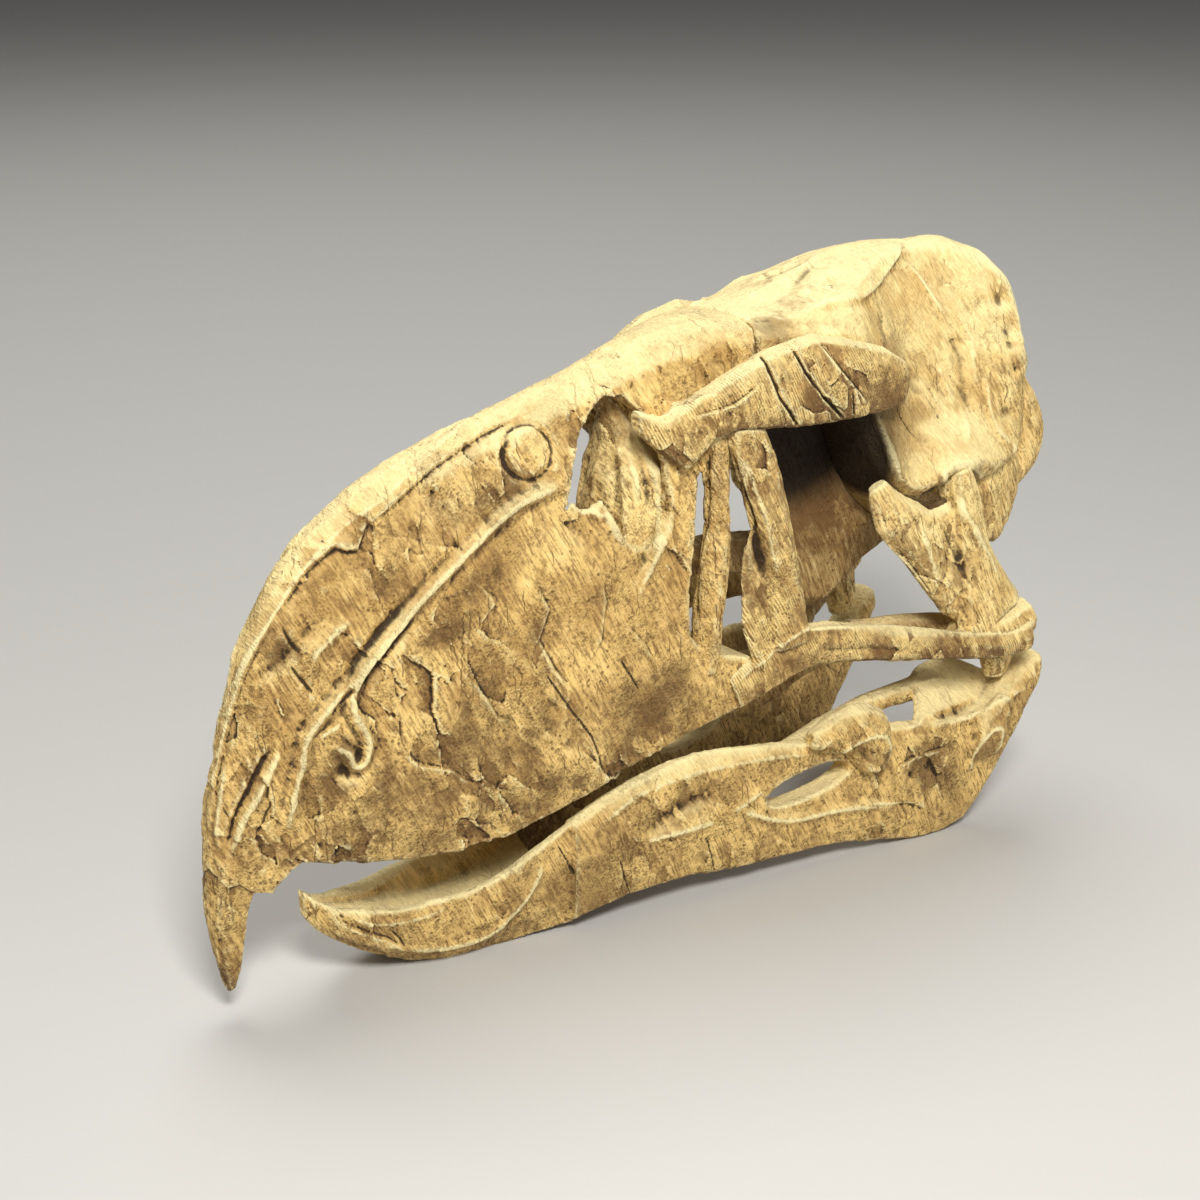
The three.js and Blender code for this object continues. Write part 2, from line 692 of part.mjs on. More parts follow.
function jawInnerRidge(grow) {
  return bar(
    [
      { x: 56, y: -34, z: 54, tall: 3, wide: 3 },
      { x: 82, y: -32, z: 58, tall: 4, wide: 4 },
      { x: 108, y: -31, z: 61, tall: 4.5, wide: 4.5 },
      { x: 134, y: -33, z: 63, tall: 4.5, wide: 5 },
      { x: 146, y: -34, z: 64, tall: 4, wide: 5 },
    ],
    grow,
    { steps: 1 },
  );
}

// ---- assembly ----

const middleBones = [
  ["upper_beak", upperBeak],
  ["cranium", cranium],
  ["occipital_condyle", occipitalCondyle],
];
const innerBones = [
  ["orbit_septum", orbitSeptum],
  ["nose_core", noseCore],
  ["rostrum", rostrum],
];
const upperSides = [
  ["brow", brow],
  ["cheek_bar", cheekBar],
  ["quadrate", quadrate],
  ["ear_wing", earWing],
  ["palate_bone", palateBone],
  ["wing_bone", wingBone],
  ["tear_column", tearColumn],
  ["orbit_strut", orbitStrut],
  ["strut_lobe", strutLobe],
];
const jawSides = [
  ["jaw_knob", jawKnob],
  ["jaw_blade", ramus(-41, 56)],
  ["jaw_rear", ramus(56, 190)],
  ["jaw_heel", jawHeel],
  ["jaw_inner_process", jawInnerProcess],
  ["jaw_inner_ridge", jawInnerRidge],
];

const mirrored = (make) => (grow) => make(grow).mirror([0, 1, 0]);
const bothSides = (bones) =>
  bones.flatMap(([name, make]) => [
    [name + "_left", make],
    [name + "_right", mirrored(make)],
  ]);

const bones = [
  ...middleBones,
  ...bothSides(upperSides.slice(0, 2)),
  ...innerBones,
  ...bothSides(upperSides.slice(2)),
  ["jaw_front", jawFront],
  ...bothSides(jawSides),
];

const fineness = 0.08; // edges left by cuts that stray less than this are straightened

// The largest body of a solid, without the crumbs that a cut leaves.
function mainBody(solid) {
  const bodies = solid.asOriginal().simplify(fineness).decompose();
  return bodies.reduce((a, b) => (a.volume() > b.volume() ? a : b));
}

function meshOf(name, solid) {
  const made = solid.getMesh();
  const geometry = new THREE.BufferGeometry();
  geometry.setAttribute("position", new THREE.BufferAttribute(made.vertProperties, 3));
  geometry.setIndex(new THREE.BufferAttribute(made.triVerts, 1));
  geometry.computeVertexNormals();
  const inner = /septum|core|palate|wing_bone|rostrum/.test(name);
  const material = new THREE.MeshStandardMaterial({
    color: inner ? darkBoneColour : boneColour,
    roughness: 0.75,
    metalness: 0,
  });
  const mesh = new THREE.Mesh(geometry, material);
  mesh.name = name;
  return mesh;
}

const skull = new THREE.Group();
skull.name = "terror_bird_skull";
skull.position.x = -middleX; // stations are measured from a point a little ahead of the middle
let taken = null;
for (const [name, make] of bones) {
  const whole = make(0);
  skull.add(meshOf(name, mainBody(taken ? whole.subtract(taken) : whole)));
  taken = taken ? taken.add(make(seam)) : make(seam);
}

export default skull;
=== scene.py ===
import math
import bpy
import numpy as np
from mathutils import Matrix, Vector


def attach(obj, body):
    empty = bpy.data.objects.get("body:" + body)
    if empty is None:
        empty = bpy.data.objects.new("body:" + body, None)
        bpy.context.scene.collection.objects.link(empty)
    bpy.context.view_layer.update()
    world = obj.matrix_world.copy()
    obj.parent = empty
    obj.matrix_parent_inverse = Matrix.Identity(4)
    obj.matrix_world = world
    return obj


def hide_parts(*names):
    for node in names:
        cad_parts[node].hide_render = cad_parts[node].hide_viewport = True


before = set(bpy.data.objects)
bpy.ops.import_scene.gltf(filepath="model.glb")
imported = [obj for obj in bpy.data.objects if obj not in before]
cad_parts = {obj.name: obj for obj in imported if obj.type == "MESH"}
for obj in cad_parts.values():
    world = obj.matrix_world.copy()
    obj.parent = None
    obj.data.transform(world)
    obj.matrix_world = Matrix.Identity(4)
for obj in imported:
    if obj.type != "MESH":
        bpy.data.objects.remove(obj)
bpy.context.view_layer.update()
print("frame loaded,", len(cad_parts), "bones in it")

mm = 0.001

view = {"azimuth": -37, "elevation": 20, "distance": 0.8, "lens": 61.2, "sensor": 36, "aim": (-0.01902, 0, 0.125)}


def addCamera():
    around, above = math.radians(view["azimuth"]), math.radians(view["elevation"])
    back = Vector((math.sin(around) * math.cos(above), -math.cos(around) * math.cos(above), math.sin(above)))
    right = Vector((math.cos(around), math.sin(around), 0))
    up = back.cross(right)
    turn = Matrix((right, up, back)).transposed()
    bpy.ops.object.camera_add(location=Vector(view["aim"]) + back * view["distance"], rotation=turn.to_euler())
    camera = bpy.context.object
    camera.name = "camera"
    camera.data.lens = view["lens"]
    camera.data.sensor_width = view["sensor"]
    camera.data.clip_start = 0.01
    bpy.context.scene.camera = camera


lamps = {
    "soft_box_above": {"place": (0.3, 1.1, 3.0), "size": 2.0, "power": 62, "tone": (1, 0.98, 0.93)},
    "soft_box_left": {"place": (-0.45, -0.8, 1.0), "size": 0.3, "power": 15.5, "tone": (1, 0.98, 0.93)},
    "fill_front": {"place": (0.5, -1.7, 0.5), "size": 1.0, "power": 5.5, "tone": (1, 0.98, 0.95)},
}
studio = {"lampAim": (0, 0, 0.12), "air": (0.85, 0.84, 0.82, 1), "glow": 0.14,
          "table": (0.56, 0.555, 0.545, 1), "tableRough": 0.7, "tableSize": 60}


def addLamps():
    for name, lamp in lamps.items():
        place = Vector(lamp["place"])
        turn = (place - Vector(studio["lampAim"])).to_track_quat("Z", "Y").to_euler()
        bpy.ops.object.light_add(type="AREA", location=place, rotation=turn)
        light = bpy.context.object
        light.name = name
        light.data.size = lamp["size"]
        light.data.energy = lamp["power"]
        light.data.color = lamp["tone"]
    world = bpy.data.worlds.new("studio")
    bpy.context.scene.world = world
    world.use_nodes = True
    air = world.node_tree.nodes["Background"]
    air.inputs["Color"].default_value = studio["air"]
    air.inputs["Strength"].default_value = studio["glow"]


def addTable():
    bpy.ops.mesh.primitive_plane_add(size=studio["tableSize"], location=(0, 0, 0))
    table = bpy.context.object
    table.name = "table"
    look = bpy.data.materials.new("pale_table")
    look.use_nodes = True
    shader = look.node_tree.nodes["Principled BSDF"]
    shader.inputs["Base Color"].default_value = studio["table"]
    shader.inputs["Roughness"].default_value = studio["tableRough"]
    table.data.materials.append(look)


addCamera()
addLamps()
addTable()
bpy.context.scene.view_settings.view_transform = "Standard"  # plain colours, so that pale bone isn't greyed
print("camera, lamps and table stand")


def onlyThis(piece):
    bpy.ops.object.select_all(action="DESELECT")
    piece.select_set(True)
    bpy.context.view_layer.objects.active = piece


def pointsOf(piece):
    flat = np.empty(len(piece.data.vertices) * 3, np.float32)
    piece.data.vertices.foreach_get("co", flat)
    return flat.reshape(-1, 3).astype(float)


def setPoints(piece, points):
    piece.data.vertices.foreach_set("co", points.astype(np.float32).ravel())
    piece.data.update()


def normalsOf(piece):
    flat = np.empty(len(piece.data.vertices) * 3, np.float32)
    piece.data.vertex_normals.foreach_get("vector", flat)
    return flat.reshape(-1, 3).astype(float)


def pairsOf(piece):
    flat = np.empty(len(piece.data.edges) * 2, np.int32)
    piece.data.edges.foreach_get("vertices", flat)
    return flat.reshape(-1, 2)


def addMask(piece, name, values):
    layer = piece.data.attributes.new(name, "FLOAT", "POINT")
    layer.data.foreach_set("value", values.astype(np.float32))


def evened(values, pairs, rounds, share=(0.5,)):  # each value drawn towards the mean of its neighbours
    count = len(values)
    a, b = pairs[:, 0], pairs[:, 1]
    near = np.maximum(np.bincount(a, minlength=count) + np.bincount(b, minlength=count), 1)
    values = values.copy()
    columns = values.reshape(count, -1)
    for turn in range(rounds):
        for part in share:
            for k in range(columns.shape[1]):
                v = columns[:, k]
                mean = (np.bincount(a, v[b], count) + np.bincount(b, v[a], count)) / near
                columns[:, k] = v + part * (mean - v)
    return values


# merge distance and swell in mm; each pull in while smoothing is paid back by the push that follows
growth = {"weld": 0.02, "swell": 0.25, "even": (0.5, -0.52), "softRounds": 90, "soften": (0.5, -0.505)}


def boneFrom(name, bone):  # one closed skin over copies of the solids
    copies = []
    for node in bone["nodes"]:
        copy = bpy.data.objects.new(name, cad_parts[node].data.copy())
        bpy.context.scene.collection.objects.link(copy)
        copies.append(copy)
        onlyThis(copy)
        bpy.ops.object.mode_set(mode="EDIT")
        bpy.ops.mesh.select_all(action="SELECT")
        bpy.ops.mesh.remove_doubles(threshold=growth["weld"] * mm)
        bpy.ops.object.mode_set(mode="OBJECT")
        setPoints(copy, pointsOf(copy) + normalsOf(copy) * growth["swell"] * mm)  # so that neighbours meet
    for copy in copies:
        copy.select_set(True)
    bpy.context.view_layer.objects.active = copies[0]
    if len(copies) > 1:
        bpy.ops.object.join()
    piece = bpy.context.object
    piece.name = name
    piece.data.materials.clear()
    skin = piece.modifiers.new("skin", "REMESH")
    skin.mode = "VOXEL"
    skin.voxel_size = bone["mesh"] * mm
    bpy.ops.object.modifier_apply(modifier=skin.name)
    points, pairs = pointsOf(piece), pairsOf(piece)
    points = evened(points, pairs, bone["rounds"], growth["even"])
    for x, y, z, radius in bone.get("softer", ()):  # and smoother still round these places
        far = np.linalg.norm(leftHalf(points) - np.array((x, y, z)) * mm, axis=1) / (radius * mm)
        share = np.clip(1.6 - 1.6 * far, 0, 1)[:, None]
        points += share * (evened(points, pairs, growth["softRounds"], growth["soften"]) - points)
    setPoints(piece, points)
    return piece


def scrambled(cell, seed):  # an even random number from 0 to 1 for each cell of a lattice
    key = (cell[:, 0] * 73856093) ^ (cell[:, 1] * 19349663) ^ (cell[:, 2] * 83492791) ^ (seed * 668265263)
    key = ((key ^ (key >> 13)) * 1274126177) & 0x7FFFFFFF
    return ((key ^ (key >> 15)) & 0xFFFF) / 65535


def cloud(points, size, seed):  # soft lumps from -1 to 1, about size mm across
    place = points / (size * mm)
    cell = np.floor(place).astype(np.int64)
    part = place - cell
    part = part * part * (3 - 2 * part)
    total = np.zeros(len(points))
    for corner in np.ndindex(2, 2, 2):
        weight = np.prod(np.where(corner, part, 1 - part), axis=1)
        total += (scrambled(cell + np.array(corner), seed) * 2 - 1) * weight
    return total


def chips(points, size, seed):  # flat, tilted flakes about size mm across, mostly from -1 to 1
    place = points / (size * mm)
    base = np.floor(place).astype(np.int64)
    best = np.full(len(points), np.inf)
    height = np.zeros(len(points))
    for corner in np.ndindex(3, 3, 3):
        cell = base + np.array(corner) - 1
        heart = cell + np.stack([scrambled(cell, seed + k) for k in range(3)], axis=1)
        off = place - heart
        far = np.einsum("ij,ij->i", off, off)
        lean = np.stack([scrambled(cell, seed + k) * 2 - 1 for k in (3, 4, 5)], axis=1)
        level = 0.5 * (scrambled(cell, seed + 6) * 2 - 1) + 1.5 * np.einsum("ij,ij->i", off, lean)
        closer = far < best
        height = np.where(closer, level, height)
        best = np.where(closer, far, best)
    return height


def curved(path, steps=4):  # a smooth line through the points of a path, in metres
    path = np.array(path, float) * mm
    if len(path) < 3:
        return path
    ends = np.vstack([2 * path[0] - path[1], path, 2 * path[-1] - path[-2]])
    line = []
    for k in range(len(path) - 1):
        a, b, c, d = ends[k:k + 4]
        for t in np.arange(steps) / steps:
            line.append(0.5 * (2 * b + (c - a) * t + (2 * a - 5 * b + 4 * c - d) * t ** 2
                               + (3 * b - a - 3 * c + d) * t ** 3))
    line.append(path[-1])
    return np.array(line)


# how deep under or over its path a mark still works, in mm, its reach in widths, how its ends fade, and the most
# painted highlight and shade it lays on
mark = {"depth": 4.5, "spotDepth": 5, "reach": 4, "taper": 4.5, "bluntEnd": 0.35, "softEnd": 0.05, "mostMarkLight": 1.2}


def nearPath(points, normals, path, reach):  # the points near a path, how far off, which side, how far from its ends
    depth = mark["depth"] * mm
    low, high = path.min(0) - reach - depth, path.max(0) + reach + depth
    index = np.nonzero(np.all((points > low) & (points < high), axis=1))[0]
    here, out = points[index], normals[index]
    best = np.full(len(index), reach)
    side = np.zeros(len(index))
    ends = np.zeros(len(index))
    spans = np.linalg.norm(np.diff(path, axis=0), axis=1)
    whole, passed = spans.sum(), 0.0
    for a, b, span in zip(path[:-1], path[1:], spans):
        way = (b - a) / max(span, 1e-9)
        t = np.clip((here - a) @ way, 0, span)
        off = here - (a + t[:, None] * way)
        deep = np.einsum("ij,ij->i", off, out)
        far = np.linalg.norm(off - deep[:, None] * out, axis=1)
        closer = (far < best) & (np.abs(deep) < depth)
        best[closer] = far[closer]
        side[closer] = np.einsum("ij,ij->i", off, np.cross(way, out))[closer]  # right of the path is plus
        ends[closer] = np.minimum(passed + t, whole - passed - t)[closer]
        passed += span
    keep = best < reach
    return index[keep], best[keep], side[keep], ends[keep]


def leftHalf(points):  # the right side is folded onto the left, so that each mark is on both
    folded = points.copy()
    folded[:, 1] = -np.abs(folded[:, 1])
    return folded


def markLift(points, normals, marks):  # how far the marks raise each point, in mm, and the painted highlight and shade they lay on it
    folded = leftHalf(points)
    facing = normals.copy()
    facing[:, 1] *= np.where(points[:, 1] > 0, -1, 1)
    lift = np.zeros(len(points))
    mark_light_and_shade = np.zeros(len(points))
    for kind, wide, tall, *path in marks:
        strong = min(tall, mark["mostMarkLight"])
        sharp = kind in ("ledge", "crack")
        if kind in ("pit", "lump", "ring"):
            off = (folded - np.array(path[0]) * mm) / mm
            deep = np.einsum("ij,ij->i", off, facing)
            far = np.linalg.norm(off - deep[:, None] * facing, axis=1)
            far += np.where(np.abs(deep) < mark["spotDepth"], 0, 99)
            if kind == "ring":  # a round dip with a sharp outer rim
                radius = path[1]
                trough = np.exp(-((far - radius) / wide) ** 2)
                rim = np.exp(-((far - radius - 2 * wide) / wide) ** 2)
                lift += 0.25 * tall * rim - tall * trough + 0.45 * tall / (1 + np.exp((far - radius) / 0.5))
                # painted highlight on the rim and painted shade in the trough
                mark_light_and_shade += strong * (0.15 * rim - 0.45 * trough)
            else:
                bell = np.exp(-(far / wide) ** 2)
                lift += (tall if kind == "lump" else -tall) * bell
                # painted highlight on a lump and painted shade in a pit
                mark_light_and_shade += (0.3 if kind == "lump" else -0.5) * strong * bell
            continue
        line = np.array(path) * mm if sharp else curved(path)
        index, far, side, ends = nearPath(folded, facing, line, mark["reach"] * wide * mm)
        far, side, ends = far / mm, side / mm, ends / mm
        fade = np.clip(ends / (mark["taper"] * wide) + mark["bluntEnd" if sharp else "softEnd"], 0, 1)
        # each stroke paints highlight on what stands up and shade in what sinks; the rib's trough gets more painted
        # shade on its right side
        if kind == "ridge":
            rise = np.exp(-(far / wide) ** 2)
            light_and_shade_stroke = 0.6 * rise ** 2
        elif kind == "rib":  # a ridge with a shallow groove on each side
            trough = np.exp(-((far - 2.2 * wide) / (1.1 * wide)) ** 2)
            rise = np.exp(-(far / wide) ** 2) - 0.3 * trough
            light_and_shade_stroke = 0.8 * np.exp(-(far / (0.6 * wide)) ** 2) - 0.3 * trough * np.where(side > 0, 1, 0.3)
        elif kind == "groove":
            rise = -np.exp(-(far / wide) ** 2)
            light_and_shade_stroke = 0.5 * rise
        elif kind == "crack":
            rise = -np.clip(1 - far / wide, 0, 1)
            light_and_shade_stroke = 1.3 * rise
        else:  # a ledge, high on the right of its path
            over = 0.5 + 0.5 * np.tanh(side / 0.4)
            rise = over * np.exp(-far / (1.4 * wide)) - 0.6 * (1 - over) * np.exp(-far / (0.7 * wide))
            light_and_shade_stroke = (0.3 * over - 0.5 * (1 - over)) * np.exp(-far / (0.5 * wide))
        lift[index] += fade * tall * rise
        mark_light_and_shade[index] += fade * strong * light_and_shade_stroke
    return lift, mark_light_and_shade


# the grain's lean in degrees, how flakes are squeezed across it and drawn out along it, and the sizes in mm
grain = {"lean": 26, "flat": 1.3, "long": 0.62, "bend": 9, "bendBy": 2,
         "patch": 30, "dents": (24, 11), "lumps": (3.4, 1.9)}
lean = math.radians(grain["lean"])
acrossGrain = np.array((math.cos(lean), 0, math.sin(lean)))
alongGrain = np.array((-math.sin(lean), 0, math.cos(lean)))


def wornLift(points, wear):  # flakes, broad dents and fine lumps over a whole bone, in mm
    seed = wear["seed"]
    bent = np.stack([cloud(points, grain["bend"], seed + k) for k in (1, 2, 3)], axis=1)
    bent = points + bent * grain["bendBy"] * mm
    turned = np.stack([bent @ acrossGrain * grain["flat"], bent[:, 1], bent @ alongGrain * grain["long"]], axis=1)
    where = np.clip(0.6 + 0.9 * cloud(points, grain["patch"], seed + 4), 0.12, 1)
    flakes = chips(turned, wear["flake"], seed + 10) + 0.55 * chips(turned, wear["flake"] * 0.4, seed + 20)
    broad, small = grain["dents"]
    coarse, fine = grain["lumps"]
    lift = wear["flakes"] * where * flakes
    lift += wear["dents"] * cloud(points, broad, seed + 5) + 0.5 * wear["dents"] * cloud(points, small, seed + 6)
    lift += wear["fine"] * (cloud(points, coarse, seed + 7) + 0.7 * cloud(points, fine, seed + 8))
    return lift, flakes * where


# rounds of evening for soft normals, for finding thin rims and for the three masks; how far rims and tops stay calm
evening = {"normals": 8, "rims": 24, "small": 4, "middle": 16, "wide": 44, "calmRim": 0.7, "calmTop": 0.7}


def sculpt(piece, bone):
    pairs = pairsOf(piece)
    points = pointsOf(piece)
    soft = evened(normalsOf(piece), pairs, evening["normals"])
    soft /= np.maximum(np.linalg.norm(soft, axis=1), 1e-6)[:, None]
    lift, flakes = wornLift(points, bone["wear"])
    rim = np.einsum("ij,ij->i", points - evened(points, pairs, evening["rims"]), soft) / mm
    calm = 1 / (1 + (np.maximum(rim, 0) / evening["calmRim"]) ** 2)  # thin rims and tops stay smooth
    calm *= 1 - evening["calmTop"] * np.clip(soft[:, 2], 0, 1)
    marked, mark_light_and_shade = markLift(points, soft, bone["marks"])
    addMask(piece, "flake", flakes)
    addMask(piece, "mark_light_and_shade", mark_light_and_shade)
    points += soft * (lift * calm + marked)[:, None] * mm
    points[:, 2] = np.maximum(points[:, 2], 0)  # nothing sinks into the table
    setPoints(piece, points)


def maskPiece(piece, bone):  # edge and crest are plus on edges and minus in creases, hollow is plus in wide dents
    pairs = pairsOf(piece)
    points, normals = pointsOf(piece), normalsOf(piece)
    near = evened(points, pairs, evening["small"])
    middle = evened(near, pairs, evening["middle"])
    wide = evened(middle, pairs, evening["wide"])
    scale = (0.75 / bone["mesh"]) ** 1.2 / mm  # a finer mesh evens over less ground
    addMask(piece, "edge", np.einsum("ij,ij->i", points - near, normals) * scale)
    addMask(piece, "crest", np.einsum("ij,ij->i", near - middle, evened(normals, pairs, 3)) * scale)
    addMask(piece, "hollow", -np.einsum("ij,ij->i", near - wide, evened(normals, pairs, 5)) / mm)
    addMask(piece, "upward", evened(normals, pairs, 12)[:, 2])
    # the stain spots hold real stains and painted shade; the strongest put dark shade where shade falls
    stain = np.zeros(len(points))
    folded = leftHalf(points)
    for x, y, z, radius, amount in bone["stains"]:
        far = np.linalg.norm(folded - np.array((x, y, z)) * mm, axis=1) / (radius * mm)
        stain += amount * np.exp(-far ** 2)
    addMask(piece, "stain", stain)


def trianglesOf(piece):
    return sum(len(face.vertices) - 2 for face in piece.data.polygons)


def thin(piece, most):
    count = trianglesOf(piece)
    if count > most:
        onlyThis(piece)
        less = piece.modifiers.new("less", "DECIMATE")
        less.ratio = most / count
        bpy.ops.object.modifier_apply(modifier=less.name)


print("tools ready")


def add(tree, kind, values=(), **settings):  # one node, its inputs given as numbers, colours or sockets
    node = tree.nodes.new("ShaderNode" + kind)
    for name, value in settings.items():
        setattr(node, name, value)
    for name, value in dict(values).items():
        if isinstance(value, bpy.types.NodeSocket):
            tree.links.new(value, node.inputs[name])
        else:
            node.inputs[name].default_value = value
    return node


def calc(tree, what, a, b):
    return add(tree, "Math", {0: a, 1: b}, operation=what).outputs[0]


def blend(tree, share, a, b, how="MIX"):
    return add(tree, "Mix", {0: share, 6: a, 7: b}, data_type="RGBA", blend_type=how).outputs[2]


def spread(tree, value, low, high):  # from 0 at low to 1 at high
    return add(tree, "MapRange", {0: value, 1: low, 2: high}, clamp=True, interpolation_type="SMOOTHSTEP").outputs[0]


def noiseOn(tree, vector, scale, detail=3.0, rough=0.55):
    return add(tree, "TexNoise", {"Vector": vector, "Scale": scale, "Detail": detail, "Roughness": rough}).outputs[0]


def groupNamed(name, ins, outs):
    group = bpy.data.node_groups.new(name, "ShaderNodeTree")
    for label, value in ins.items():
        kind = "NodeSocketColor" if isinstance(value, tuple) else "NodeSocketFloat"
        group.interface.new_socket(label, in_out="INPUT", socket_type=kind).default_value = value
    for label, kind in outs.items():
        group.interface.new_socket(label, in_out="OUTPUT", socket_type=kind)
    start = group.nodes.new("NodeGroupInput")
    end = group.nodes.new("NodeGroupOutput")
    return group, start.outputs, end.inputs


def layerGrainGroup():  # thin lines across the grain, and the fibres that run along it
    group, given, out = groupNamed("layer_grain", {"Pitch mm": 1.05},
                                   {"Lines": "NodeSocketFloat", "Fibres": "NodeSocketFloat"})
    place = add(group, "TexCoord").outputs["Object"]
    turned = add(group, "Mapping", {"Vector": place, "Rotation": (0, lean, 0)}).outputs[0]
    scale = calc(group, "DIVIDE", 314.16, given["Pitch mm"])  # a wave at scale 1 is 314.16 mm long
    wave = add(group, "TexWave", {
        "Vector": turned, "Scale": scale, "Distortion": 3.0, "Detail": 3.0, "Detail Scale": 0.35,
    }, wave_type="BANDS", bands_direction="X", wave_profile="SIN").outputs[1]
    where = spread(group, noiseOn(group, place, 70.0, 3.0), 0.42, 0.6)
    group.links.new(calc(group, "MULTIPLY", wave, where), out["Lines"])
    drawn = add(group, "Mapping", {"Vector": turned, "Scale": (1.0, 0.5, 0.14)}).outputs[0]
    group.links.new(spread(group, noiseOn(group, drawn, 800.0, 3.0, 0.6), 0.3, 0.7), out["Fibres"])
    return group


def boneReliefGroup(layerGrain):  # heights in mm, for a bump of 1 mm
    group, given, out = groupNamed("bone_relief", {
        "Lines": 0.12, "Fibres": 0.2, "Rough": 0.25, "Pits": 0.3, "Cracks": 0.3,
    }, {"Height": "NodeSocketFloat", "Lift": "NodeSocketFloat"})
    place = add(group, "TexCoord").outputs["Object"]
    layers = add(group, "Group", node_tree=layerGrain)
    stain = add(group, "Attribute", attribute_name="stain").outputs["Fac"]
    upward = add(group, "Attribute", attribute_name="upward").outputs["Fac"]
    height = calc(group, "MULTIPLY", layers.outputs["Lines"], given["Lines"])
    height = calc(group, "ADD", height, calc(group, "MULTIPLY", layers.outputs["Fibres"], given["Fibres"]))
    # grit, in patches, most where it is stained or has painted shade, or faces down
    patchy = calc(group, "ADD", 0.3, spread(group, noiseOn(group, place, 60.0, 3.0), 0.4, 0.65))
    patchy = calc(group, "ADD", patchy, calc(group, "MULTIPLY", spread(group, stain, 0.2, 0.9), 0.5))
    patchy = calc(group, "SUBTRACT", patchy, calc(group, "MULTIPLY", upward, 0.35))
    rough = calc(group, "MULTIPLY", spread(group, noiseOn(group, place, 400.0, 4.0, 0.65), 0.25, 0.75), 0.5)
    grit = calc(group, "MULTIPLY", spread(group, noiseOn(group, place, 1050.0, 2.0, 0.6), 0.25, 0.75), 0.5)
    rough = calc(group, "MULTIPLY", calc(group, "ADD", rough, grit), patchy)
    height = calc(group, "ADD", height, calc(group, "MULTIPLY", rough, given["Rough"]))
    # small holes, in a few places
    holes = add(group, "TexVoronoi", {"Vector": place, "Scale": 420.0}, feature="F1").outputs["Distance"]
    few = spread(group, noiseOn(group, place, 120.0, 2.0), 0.5, 0.6)
    holes = calc(group, "MULTIPLY", calc(group, "SUBTRACT", 1.0, spread(group, holes, 0.08, 0.38)), few)
    height = calc(group, "SUBTRACT", height, calc(group, "MULTIPLY", holes, given["Pits"]))
    # straight rifts along the grain, in a few places
    drawn = add(group, "Mapping", {"Vector": place, "Rotation": (0, lean, 0), "Scale": (1.0, 0.4, 0.16)}).outputs[0]
    warp = add(group, "TexNoise", {"Vector": place, "Scale": 240.0, "Detail": 2.0}).outputs["Color"]
    bent = blend(group, 0.0022, drawn, warp, "ADD")
    rifts = add(group, "TexVoronoi", {"Vector": bent, "Scale": 130.0}, feature="DISTANCE_TO_EDGE").outputs["Distance"]
    some = spread(group, noiseOn(group, place, 55.0, 2.0), 0.54, 0.62)
    rifts = calc(group, "MULTIPLY", calc(group, "SUBTRACT", 1.0, spread(group, rifts, 0.0, 0.035)), some)
    height = calc(group, "SUBTRACT", height, calc(group, "MULTIPLY", rifts, given["Cracks"]))
    group.links.new(height, out["Height"])
    full = calc(group, "ADD", calc(group, "ADD", given["Lines"], given["Fibres"]),
                calc(group, "MULTIPLY", given["Rough"], patchy))
    group.links.new(calc(group, "DIVIDE", height, full), out["Lift"])
    return group
